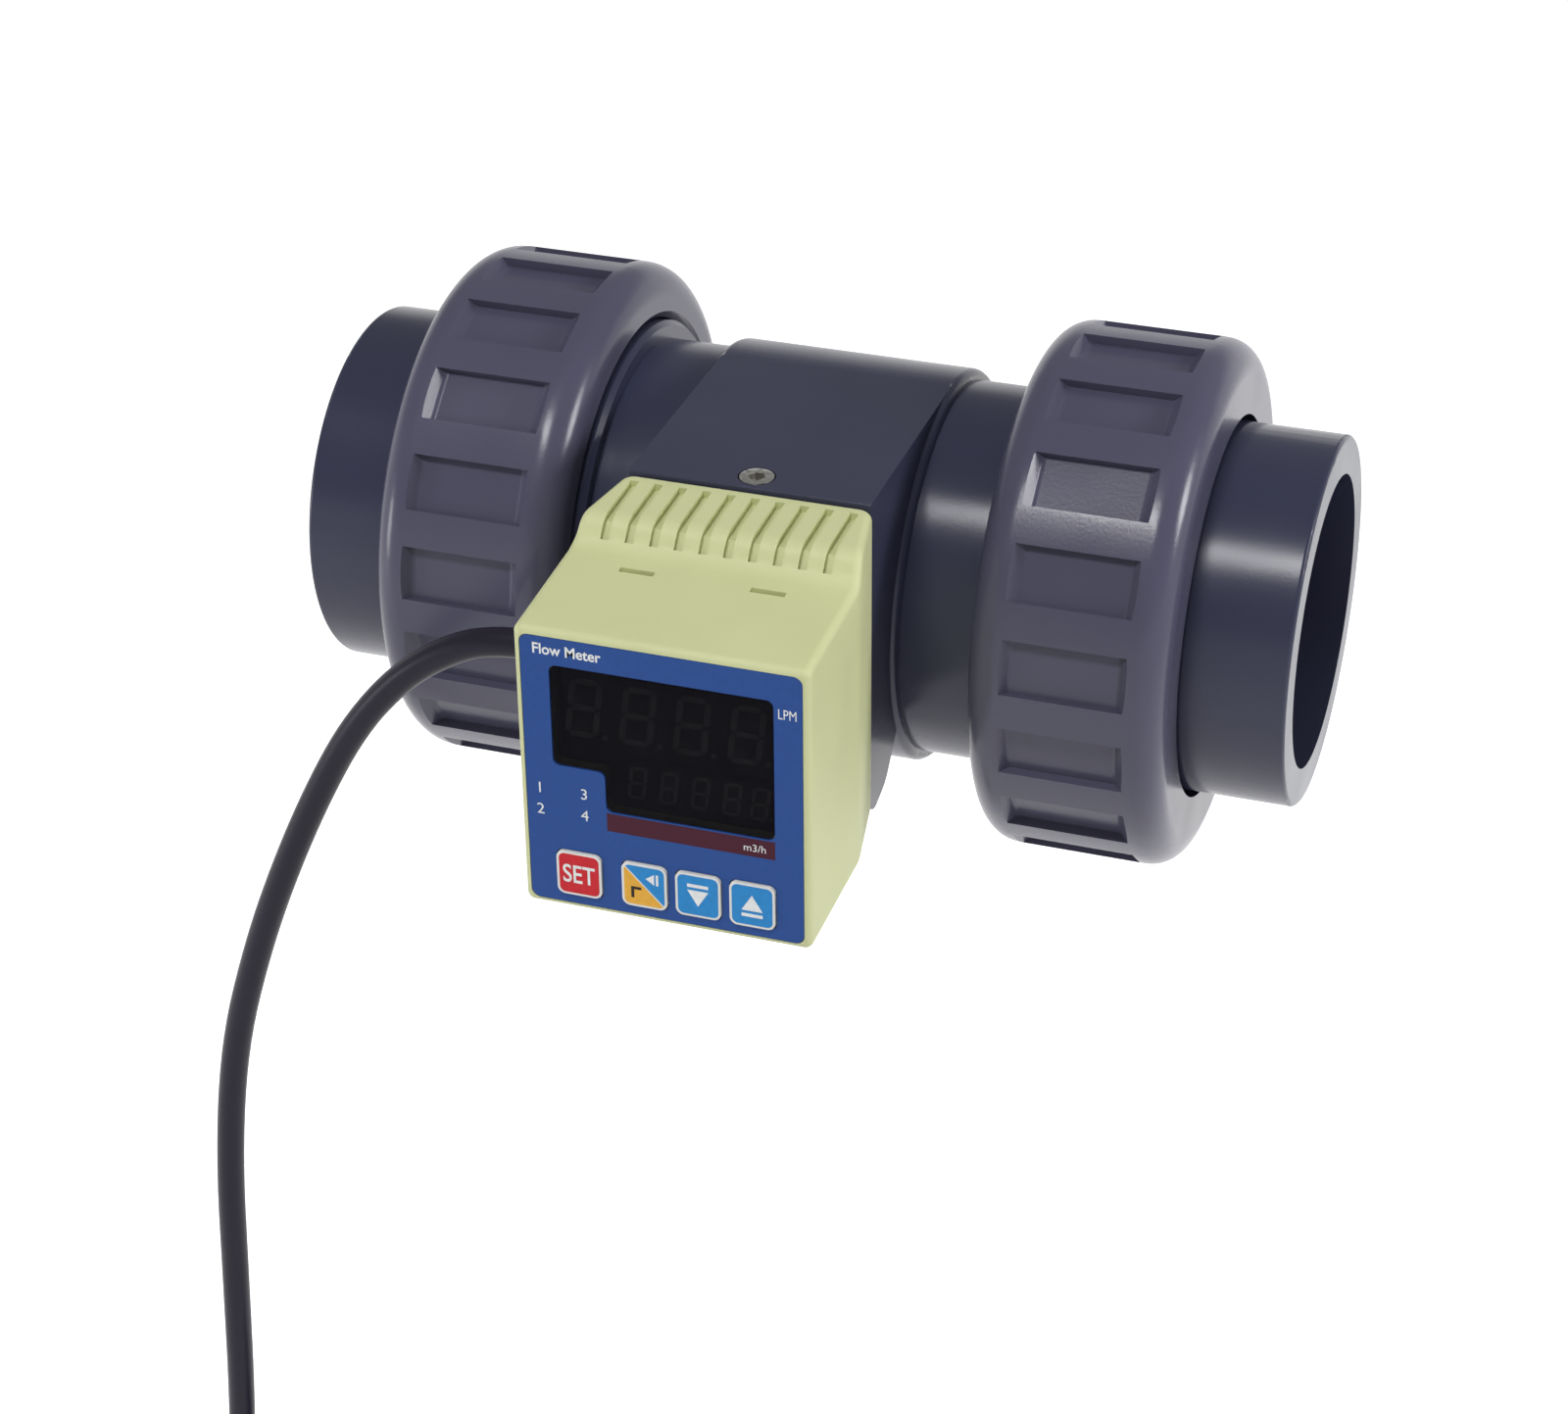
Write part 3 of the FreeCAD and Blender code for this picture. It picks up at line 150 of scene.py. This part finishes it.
def spread(nodes, links, source, limits):
    """A number between two limits, by a texture."""
    made = nodes.new("ShaderNodeMapRange")
    made.inputs["From Min"].default_value = NOISE_RANGE[0]
    made.inputs["From Max"].default_value = NOISE_RANGE[1]
    made.inputs["To Min"].default_value = limits[0]
    made.inputs["To Max"].default_value = limits[1]
    links.new(source, made.inputs["Value"])
    return made.outputs["Result"]


def moulded(name, color, rough, bump, grain=2200, mottle=60, tint=0.12, specular=0.5):
    """Moulded plastic: slight mottling, uneven gloss and the fine grain of the mould."""
    made, nodes, links, shader = tree(name)
    broad = noise(nodes, links, mottle, detail=2)
    tone = ramp(nodes, links, broad, shade(color, 1 - tint), shade(color, 1 + tint))
    links.new(tone, shader.inputs["Base Color"])
    uneven = noise(nodes, links, mottle * 2, detail=1)
    links.new(spread(nodes, links, uneven, rough), shader.inputs["Roughness"])
    shader.inputs["Specular IOR Level"].default_value = specular
    fine = noise(nodes, links, grain, detail=2)
    relief = nodes.new("ShaderNodeBump")
    relief.inputs["Strength"].default_value = bump
    relief.inputs["Distance"].default_value = GRAIN_DEPTH
    links.new(fine, relief.inputs["Height"])
    links.new(relief.outputs["Normal"], shader.inputs["Normal"])
    return made


def metal(name, color, rough, stretch=(1, 1, 1), grain=900):
    """Bright metal with fine turning marks."""
    made, nodes, links, shader = tree(name)
    marks = noise(nodes, links, grain, detail=3, stretch=stretch)
    tone = ramp(nodes, links, marks, shade(color, METAL_TONES[0]), shade(color, METAL_TONES[1]))
    links.new(tone, shader.inputs["Base Color"])
    links.new(spread(nodes, links, marks, rough), shader.inputs["Roughness"])
    shader.inputs["Metallic"].default_value = 1
    return made


def printed(name, color, rough=(0.4, 0.5)):
    """Screen print: a flat ink with a faint unevenness."""
    made, nodes, links, shader = tree(name)
    cloud = noise(nodes, links, INK_SCALE, detail=2)
    tone = ramp(nodes, links, cloud, shade(color, INK_TONES[0]), shade(color, INK_TONES[1]))
    links.new(tone, shader.inputs["Base Color"])
    links.new(spread(nodes, links, cloud, rough), shader.inputs["Roughness"])
    shader.inputs["Specular IOR Level"].default_value = INK_SPECULAR
    return made


def smoked_lens():
    """Dark polished lens that lets a little light through to the digits."""
    made, nodes, links, shader = tree("smoked_lens")
    haze = noise(nodes, links, LENS_SCALE, detail=3)
    links.new(ramp(nodes, links, haze, LENS_TONES[0], LENS_TONES[1]), shader.inputs["Base Color"])
    links.new(spread(nodes, links, haze, LENS_ROUGH), shader.inputs["Roughness"])
    shader.inputs["Specular IOR Level"].default_value = LENS_SPECULAR
    shader.inputs["Alpha"].default_value = LENS_ALPHA
    return made


PVC = moulded("grey_pvc", srgb(55, 57, 78), (0.20, 0.27), bump=0.05, mottle=30, tint=0.05, specular=0.3)
PVC_NUT = moulded("grey_pvc_nut", srgb(80, 79, 99), (0.20, 0.27), bump=0.07, grain=1700, mottle=30, tint=0.05,
                  specular=0.3)
CASE = moulded("pale_case", srgb(205, 209, 158), (0.46, 0.58), bump=0.06, grain=2600, mottle=45, tint=0.03)
SEAL = moulded("seal_rubber", srgb(26, 26, 28), (0.55, 0.7), bump=0.05)
WHITE = moulded("white_plastic", srgb(228, 228, 224), (0.35, 0.5), bump=0.03, tint=0.03)
BLACK = moulded("black_plastic", srgb(30, 30, 33), (0.38, 0.5), bump=0.05)
BOARD = moulded("board_mask", srgb(24, 92, 54), (0.28, 0.36), bump=0.05, grain=1500, tint=0.10)
TERMINAL = moulded("terminal_green", srgb(38, 124, 70), (0.38, 0.5), bump=0.03)
JACKET = moulded("cable_jacket", srgb(36, 33, 46), (0.34, 0.40), bump=0.06, grain=1500, tint=0.06,
                 specular=0.16)
SHEET = printed("blue_sheet", srgb(42, 79, 148), (0.36, 0.46))
INK_WHITE = printed("ink_white", srgb(238, 240, 240))
INK_DARK = printed("ink_dark", srgb(44, 36, 30))
INK_RED = printed("ink_red", srgb(206, 44, 52))
INK_BLUE = printed("ink_blue", srgb(48, 140, 208))
INK_AMBER = printed("ink_amber", srgb(236, 178, 70))
INK_STRIP = printed("ink_strip", srgb(68, 18, 38))
DIGIT_FACE = printed("digit_face", srgb(20, 16, 22))
SEGMENT = printed("segment", srgb(206, 198, 196), (0.5, 0.6))
STEEL = metal("bright_steel", srgb(208, 206, 200), (0.22, 0.36))
MAGNET = metal("magnet_plate", srgb(180, 180, 186), (0.2, 0.3))
COPPER = metal("copper_strands", srgb(196, 128, 84), (0.3, 0.45), stretch=(6, 6, 0.5), grain=1400)
LENS = smoked_lens()

NODE_MATERIALS = {
    PVC: ["inlet_end_connector", "outlet_end_connector", "meter_body", "sensor_insert"],
    PVC_NUT: ["inlet_union_nut", "outlet_union_nut"],
    SEAL: ["inlet_o_ring", "outlet_o_ring", "insert_o_rings"],
    WHITE: ["paddle_wheel", "set_key", "shift_key", "down_key", "up_key"],
    MAGNET: ["rotor_magnets"],
    STEEL: ["rotor_axle", "lock_screw", "board_screws"],
    BLACK: ["hall_sensor", "insert_ring_nut", "key_switches", "board_header", "cable_gland", "gland_nut",
            "cable_tie"],
    BOARD: ["sensor_board", "front_board", "rear_board"],
    CASE: ["case_shell", "back_plate"],
    SHEET: ["front_overlay"],
    LENS: ["display_window"],
    DIGIT_FACE: ["upper_digits", "lower_digits"],
    TERMINAL: ["terminal_block"],
    JACKET: ["cable_tail"],
    COPPER: ["lead_ends"],
}
for material, names in NODE_MATERIALS.items():
    for name in names:
        NODES[name].data.materials.clear()
        NODES[name].data.materials.append(material)


# Softened edges on the rigid pieces
WELD_DISTANCE = 0.002
EDGE_SEGMENTS = 2
SHARP_ANGLE = 28
NORMAL_WEIGHT = 80
EDGE_WIDTHS = {
    "inlet_union_nut": 0.5,
    "outlet_union_nut": 0.5,
    "inlet_end_connector": 0.35,
    "outlet_end_connector": 0.35,
    "meter_body": 0.35,
    "case_shell": 0.3,
    "set_key": 0.25,
    "shift_key": 0.25,
    "down_key": 0.25,
    "up_key": 0.25,
    "lock_screw": 0.15,
    "paddle_wheel": 0.2,
    "sensor_insert": 0.2,
    "cable_gland": 0.3,
    "cable_tie": 0.2,
}


def soften(name, width):
    """Join the split faces, round the sharp edges, and let the large faces lead the shading."""
    node = NODES[name]
    weld = node.modifiers.new("join_faces", "WELD")
    weld.merge_threshold = WELD_DISTANCE * MM
    edge = node.modifiers.new("round_edges", "BEVEL")
    edge.width = width * MM
    edge.segments = EDGE_SEGMENTS
    edge.limit_method = "ANGLE"
    edge.angle_limit = math.radians(SHARP_ANGLE)
    edge.use_clamp_overlap = True
    node.data.shade_smooth()
    even = node.modifiers.new("even_normals", "WEIGHTED_NORMAL")
    even.mode = "FACE_AREA_WITH_ANGLE"
    even.weight = NORMAL_WEIGHT


for name, width in EDGE_WIDTHS.items():
    soften(name, width)


# Signal cable: the route's points, then the turns of its coil
GLAND_MOUTH = (58.5, -67.0, 12.2)
CABLE_ROUTE = [
    GLAND_MOUTH,
    (50.5, -67.0, 12.0),
    (42.5, -67.0, 9.0),
    (33.2, -67.1, 2.2),
    (24.4, -67.2, -8.6),
    (16.8, -67.4, -22.6),
    (9.0, -67.6, -40.0),
    (2.2, -67.7, -58.0),
    (-4.2, -67.7, -79.7),
    (-7.8, -67.6, -105.5),
    (-9.4, -67.3, -135.5),
    (-11.0, -67.1, -165.0),
    (-13.4, -67.0, -190.0),
]
CABLE_END = [(-10.8, -71.2, -209.0), (-10.8, -71.2, -217.0)]
CABLE_RADIUS = 2.5
CABLE_ROUNDNESS = 5
CABLE_STEPS = 6
COIL_CENTRE = (20.6, -67.0, -206.0)
COIL_RADIUS = 30.0
STRAND_OFFSET = 4.4
COIL_TURNS = 4
POINTS_PER_TURN = 16
STRANDS = 5


def coil_points():
    """Turns that lie round a ring, each a fifth of the way round the bundle from the last."""
    points = []
    for step in range(1, COIL_TURNS * POINTS_PER_TURN + 1):
        turned = step / POINTS_PER_TURN
        around = math.pi + 2 * math.pi * turned
        across = 2 * math.pi * turned / STRANDS
        radius = COIL_RADIUS + STRAND_OFFSET * math.cos(across)
        points.append((
            COIL_CENTRE[0] + radius * math.cos(around),
            COIL_CENTRE[1] + STRAND_OFFSET * math.sin(across),
            COIL_CENTRE[2] + radius * math.sin(around),
        ))
    return points


cable_points = CABLE_ROUTE + coil_points() + CABLE_END
cable_curve = bpy.data.curves.new("signal_cable_line", "CURVE")
cable_curve.dimensions = "3D"
cable_curve.bevel_depth = CABLE_RADIUS * MM
cable_curve.bevel_resolution = CABLE_ROUNDNESS
cable_curve.resolution_u = CABLE_STEPS
cable_curve.use_fill_caps = True
line = cable_curve.splines.new("NURBS")
line.points.add(len(cable_points) - 1)
for spot, place in zip(line.points, cable_points):
    spot.co = (place[0] * MM, place[1] * MM, place[2] * MM, 1)
line.order_u = 3
line.use_endpoint_u = True
cable_curve.materials.append(JACKET)
cable = add("cable_jacket", cable_curve)
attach(cable, "meter")
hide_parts("signal_cable", "cable_coil")


def finish_piece(name, mesh, material, body):
    """Give a new mesh its material and set it on the body that carries it."""
    mesh.materials.clear()
    mesh.materials.append(material)
    piece = add(name, mesh)
    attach(piece, body)


# Threads of the unions, seen when a union is open
THREAD_RADIUS = 35.35
THREAD_HEIGHT = 0.25
THREAD_LEAD = 4.0
THREAD_TURNS = 3.2
THREAD_STEPS = 64
FADE_STEPS = 12
RIDGE = ((-0.9, 0.0), (-0.35, THREAD_HEIGHT), (0.35, THREAD_HEIGHT), (0.9, 0.0))
THREAD_STARTS = {"inlet_thread": 37.0, "outlet_thread": 122.2}


def thread(name, start):
    """A right-hand ridge round the pipe's axis that fades out at both ends."""
    steps = round(THREAD_TURNS * THREAD_STEPS)
    spots = []
    for step in range(steps + 1):
        angle = 2 * math.pi * step / THREAD_STEPS
        fade = min(1, step / FADE_STEPS, (steps - step) / FADE_STEPS)
        for along, height in RIDGE:
            radius = THREAD_RADIUS + height * fade
            x = start + THREAD_LEAD * step / THREAD_STEPS + along
            spots.append((x * MM, radius * math.cos(angle) * MM, radius * math.sin(angle) * MM))
    row = len(RIDGE)
    faces = []
    for step in range(steps):
        for first in range(row * step, row * step + row - 1):
            faces.append((first, first + 1, first + row + 1, first + row))
    mesh = bpy.data.meshes.new(name)
    mesh.from_pydata(spots, [], faces)
    mesh.shade_smooth()
    finish_piece(name, mesh, PVC, "meter")


for name, start in THREAD_STARTS.items():
    thread(name, start)


# Printing on the display face
FACE_X = 86.0
FACE_Y = -87.0
FACE_Z = 2.2
SHEET_RECESS = 0.1
KEY_STAND = 0.35
INK = 0.03
SHEET_Y = FACE_Y + SHEET_RECESS
KEY_Y = FACE_Y - KEY_STAND
GLYPH_Y = KEY_Y - INK
CORNER_STEPS = 6


def on_face(x, y, z):
    """A point in metres, from x and z off the face's centre and y in the object's frame."""
    return ((FACE_X + x) * MM, y * MM, (FACE_Z + z) * MM)


def print_shape(name, loops, y, material, body, thickness=INK):
    """Flat ink shapes on a plane parallel to the face. A loop is a list of (x, z) from the face's centre."""
    work = bmesh.new()
    for loop in loops:
        front = [work.verts.new(on_face(x, y - thickness, z)) for x, z in loop]
        rear = [work.verts.new(on_face(x, y, z)) for x, z in loop]
        work.faces.new(front)
        for i in range(len(loop)):
            j = (i + 1) % len(loop)
            work.faces.new((front[j], front[i], rear[i], rear[j]))
    bmesh.ops.triangulate(work, faces=[face for face in work.faces if len(face.verts) > 4])
    bmesh.ops.recalc_face_normals(work, faces=work.faces)
    mesh = bpy.data.meshes.new(name)
    work.to_mesh(mesh)
    work.free()
    finish_piece(name, mesh, material, body)


def print_text(name, text, x, z, height, y, body, width=None, bold=0.0):
    """White lettering centred on a point of the face, with its height and width in millimetres."""
    curve = bpy.data.curves.new(name + "_line", "FONT")
    curve.body = text
    curve.size = 1
    curve.align_x = "CENTER"
    curve.align_y = "CENTER"
    curve.offset = bold
    holder = add(name + "_line", curve)
    bpy.context.view_layer.update()
    mesh = bpy.data.meshes.new_from_object(holder.evaluated_get(bpy.context.evaluated_depsgraph_get()))
    bpy.data.objects.remove(holder)
    spots = [vertex.co for vertex in mesh.vertices]
    low = Vector((min(c.x for c in spots), min(c.y for c in spots)))
    high = Vector((max(c.x for c in spots), max(c.y for c in spots)))
    size_z = height / (high.y - low.y)
    size_x = width / (high.x - low.x) if width else size_z
    middle = (low + high) / 2
    for vertex in mesh.vertices:
        across = (vertex.co.x - middle.x) * size_x
        up = (vertex.co.y - middle.y) * size_z
        vertex.co = on_face(x + across, y - INK, z + up)
    mesh.name = name
    finish_piece(name, mesh, INK_WHITE, body)


def box(left, low, right, high):
    """A rectangle, counter-clockwise."""
    return [(left, low), (right, low), (right, high), (left, high)]


def rounded(x, z, width, height, radius):
    """A rectangle with round corners, counter-clockwise."""
    loop = []
    for quarter, (sx, sz) in enumerate(((1, 1), (-1, 1), (-1, -1), (1, -1))):
        for step in range(CORNER_STEPS + 1):
            angle = math.pi / 2 * (quarter + step / CORNER_STEPS)
            loop.append((x + sx * (width / 2 - radius) + radius * math.cos(angle),
                         z + sz * (height / 2 - radius) + radius * math.sin(angle)))
    return loop


def triangle(x, z, width, height, up):
    """An arrow head that points up or down, counter-clockwise."""
    tip = height / 2 if up else -height / 2
    loop = [(x - width / 2, z - tip), (x + width / 2, z - tip), (x, z + tip)]
    return loop if up else loop[::-1]


UNIT_STRIP = box(left=-9.5, low=-9.3, right=18.2, high=-6.05)
print_shape("unit_strip", [UNIT_STRIP], SHEET_Y, INK_STRIP, "meter")
print_text("strip_unit", "m3/h", x=14.9, z=-7.7, height=1.3, y=SHEET_Y - INK, body="meter",
           width=3.6)
print_text("title", "Flow Meter", x=-15.1, z=21.9, height=1.9, y=SHEET_Y, body="meter",
           width=11.2, bold=0.02)
print_text("window_unit", "LPM", x=20.4, z=17.2, height=1.7, y=SHEET_Y, body="meter",
           width=2.9)
MARKS = {"1": (-20.6, -3.3), "2": (-20.6, -7.2), "3": (-13.2, -3.3), "4": (-13.2, -7.2)}
for mark, (x, z) in MARKS.items():
    print_text("mark_" + mark, mark, x, z, height=1.9, y=SHEET_Y, body="meter")


# Printing on the keys
KEY_X = {"set_key": -14.44, "shift_key": -3.48, "down_key": 5.48, "up_key": 14.44}
KEY_Z = -18.25
FIELD_WIDTH = 6.7
FIELD_HEIGHT = 7.2
FIELD_RADIUS = 0.95
SEAM = 0.001
ARROW_WIDTH = 3.5
ARROW_HEIGHT = 2.9
ARROW_SHIFT = 0.5
LINE_NEAR = 1.5
LINE_FAR = 2.1


def over_seam(spot, x):
    """How far a point of a field lies above the diagonal of the key at x."""
    return (spot[0] - x) / FIELD_WIDTH + (spot[1] - KEY_Z) / FIELD_HEIGHT


for key, x in KEY_X.items():
    field = rounded(x, KEY_Z, FIELD_WIDTH, FIELD_HEIGHT, FIELD_RADIUS)
    if key != "shift_key":
        print_shape(key + "_field", [field], KEY_Y, INK_RED if key == "set_key" else INK_BLUE, key)
        continue
    upper = [spot for spot in field if over_seam(spot, x) > -SEAM]
    lower = [spot for spot in field if over_seam(spot, x) < SEAM]
    print_shape("shift_key_upper", [upper], KEY_Y, INK_BLUE, key)
    print_shape("shift_key_lower", [lower], KEY_Y, INK_AMBER, key)

print_text("set_word", "SET", KEY_X["set_key"], KEY_Z, height=3.4, y=GLYPH_Y, body="set_key",
           width=5.4, bold=0.012)
x = KEY_X["down_key"]
down_loops = [
    triangle(x, KEY_Z - ARROW_SHIFT, ARROW_WIDTH, ARROW_HEIGHT, up=False),
    box(x - ARROW_WIDTH / 2, KEY_Z + LINE_NEAR, x + ARROW_WIDTH / 2, KEY_Z + LINE_FAR),
]
print_shape("down_glyph", down_loops, GLYPH_Y, INK_WHITE, "down_key")
x = KEY_X["up_key"]
up_loops = [
    triangle(x, KEY_Z + ARROW_SHIFT, ARROW_WIDTH, ARROW_HEIGHT, up=True),
    box(x - ARROW_WIDTH / 2, KEY_Z - LINE_FAR, x + ARROW_WIDTH / 2, KEY_Z - LINE_NEAR),
]
print_shape("up_glyph", up_loops, GLYPH_Y, INK_WHITE, "up_key")
x = KEY_X["shift_key"]
shift_loops = [
    [(x + 0.3, KEY_Z + 1.5), (x + 1.7, KEY_Z + 0.5), (x + 1.7, KEY_Z + 2.5)],
    box(x + 2.0, KEY_Z + 0.5, x + 2.4, KEY_Z + 2.5),
]
print_shape("shift_glyph", shift_loops, GLYPH_Y, INK_WHITE, "shift_key")
mode_loops = [
    box(x - 2.2, KEY_Z - 2.4, x - 1.7, KEY_Z - 0.3),
    box(x - 1.7, KEY_Z - 0.8, x - 0.5, KEY_Z - 0.3),
]
print_shape("mode_glyph", mode_loops, GLYPH_Y, INK_DARK, "shift_key")


# Unlit seven-segment digits behind the lens
DIGIT_DEPTH = 3.6
DIGIT_Y = FACE_Y + DIGIT_DEPTH
BAR_THICKNESS = 0.1
BAR_GAP = 0.12
SLANT = 0.12
POINT_STEP = 1.1
POINT_RADIUS = 0.45
POINT_SIDES = 8
UPPER_X = (-14.0, -5.1, 3.8, 12.7)
LOWER_X = (-5.5, -0.3, 4.9, 10.1, 14.7)


def segments(x, z, width, height, bar):
    """The seven bars and the point of one digit, leaning to the right."""
    half = bar / 2
    gap = bar * BAR_GAP
    side = width / 2 - half
    level = height / 2 - half

    def flat(z_now):
        a = -side + gap
        b = side - gap
        return [(a, z_now), (a + half, z_now - half), (b - half, z_now - half), (b, z_now),
                (b - half, z_now + half), (a + half, z_now + half)]

    def upright(x_now, low, high):
        a = low + gap
        b = high - gap
        return [(x_now, a), (x_now + half, a + half), (x_now + half, b - half), (x_now, b),
                (x_now - half, b - half), (x_now - half, a + half)]

    loops = [flat(z_now) for z_now in (-level, 0, level)]
    for x_now in (-side, side):
        loops.append(upright(x_now, -level, 0))
        loops.append(upright(x_now, 0, level))
    point = []
    for i in range(POINT_SIDES):
        angle = 2 * math.pi / POINT_SIDES * i
        point.append((width / 2 + bar * POINT_STEP + bar * POINT_RADIUS * math.cos(angle),
                      -level + bar * POINT_RADIUS * math.sin(angle)))
    loops.append(point)
    return [[(x + px + SLANT * pz, z + pz) for px, pz in loop] for loop in loops]


upper_loops = []
for x in UPPER_X:
    upper_loops += segments(x, z=10.25, width=5.6, height=10.6, bar=1.05)
print_shape("upper_segments", upper_loops, DIGIT_Y, SEGMENT, "meter", BAR_THICKNESS)
lower_loops = []
for x in LOWER_X:
    lower_loops += segments(x, z=-1.8, width=3.0, height=6.0, bar=0.6)
print_shape("lower_segments", lower_loops, DIGIT_Y, SEGMENT, "meter", BAR_THICKNESS)


# Floor
FLOOR_HALF = 9
FLOOR_DROP = 0.003
FLOOR_TONES = ((0.84, 0.84, 0.84, 1), (0.88, 0.88, 0.88, 1))
FLOOR_SCALE = 6
FLOOR_ROUGH = 0.8
FLOOR_SPECULAR = 0.1
FLOOR_GLOW = 0.75
FLOOR_Z = CAD_BOX[0].z - FLOOR_DROP


def background_seen(node_tree):
    """1 where the background shows: to the camera, in a gloss or through glass."""
    path = node_tree.nodes.new("ShaderNodeLightPath")
    seen = path.outputs["Is Camera Ray"]
    for kind in ("Is Glossy Ray", "Is Transmission Ray"):
        either = node_tree.nodes.new("ShaderNodeMath")
        either.operation = "MAXIMUM"
        node_tree.links.new(seen, either.inputs[0])
        node_tree.links.new(path.outputs[kind], either.inputs[1])
        seen = either.outputs[0]
    return seen


def pale_floor():
    """A pale matt floor that shows white where it is the background."""
    made, nodes, links, shader = tree("pale_floor")
    cloud = noise(nodes, links, FLOOR_SCALE, detail=2)
    links.new(ramp(nodes, links, cloud, FLOOR_TONES[0], FLOOR_TONES[1]), shader.inputs["Base Color"])
    shader.inputs["Roughness"].default_value = FLOOR_ROUGH
    shader.inputs["Specular IOR Level"].default_value = FLOOR_SPECULAR
    lift = nodes.new("ShaderNodeMath")
    lift.operation = "MULTIPLY"
    lift.inputs[1].default_value = FLOOR_GLOW
    links.new(background_seen(made.node_tree), lift.inputs[0])
    shader.inputs["Emission Color"].default_value = (1, 1, 1, 1)
    links.new(lift.outputs[0], shader.inputs["Emission Strength"])
    return made


floor_corners = [(x, y, FLOOR_Z) for x, y in box(-FLOOR_HALF, -FLOOR_HALF, FLOOR_HALF, FLOOR_HALF)]
floor_mesh = bpy.data.meshes.new("floor")
floor_mesh.from_pydata(floor_corners, [], [(0, 1, 2, 3)])
floor_mesh.materials.append(pale_floor())
floor = add("floor", floor_mesh)


# World: white at the horizon, dimmer overhead
HORIZON_RANGE = (0.08, 0.3)
HORIZON_STRENGTH = 1.0
OVERHEAD_STRENGTH = 0.25

world = bpy.data.worlds.new("studio")
bpy.context.scene.world = world
world.use_nodes = True
sky = world.node_tree
background = sky.nodes["Background"]
background.inputs["Color"].default_value = (1, 1, 1, 1)
direction = sky.nodes.new("ShaderNodeTexCoord")
parts = sky.nodes.new("ShaderNodeSeparateXYZ")
sky.links.new(direction.outputs["Generated"], parts.inputs["Vector"])
strength = sky.nodes.new("ShaderNodeMapRange")
strength.inputs["From Min"].default_value = HORIZON_RANGE[0]
strength.inputs["From Max"].default_value = HORIZON_RANGE[1]
strength.inputs["To Min"].default_value = HORIZON_STRENGTH
strength.inputs["To Max"].default_value = OVERHEAD_STRENGTH
sky.links.new(parts.outputs["Z"], strength.inputs["Value"])
sky.links.new(strength.outputs["Result"], background.inputs["Strength"])


# Lamps
TARGET = Vector((0.086, -0.03, 0.0))


def lamp(name, place, width, height, power):
    """A rectangular lamp aimed at the middle of the meter."""
    data = bpy.data.lights.new(name, "AREA")
    data.shape = "RECTANGLE"
    data.size = width
    data.size_y = height
    data.energy = power
    made = add(name, data)
    made.location = place
    made.rotation_mode = "QUATERNION"
    made.rotation_quaternion = (TARGET - Vector(place)).to_track_quat("-Z", "Y")


lamp("key", (0.02, -0.52, 0.91), width=0.34, height=0.19, power=5.3)
lamp("fill", (0.98, 0.12, 0.38), width=0.28, height=0.24, power=4.4)
lamp("left", (-0.9, -0.5, 0.0), width=0.2, height=0.3, power=2.0)

bpy.context.scene.view_settings.view_transform = "Standard"
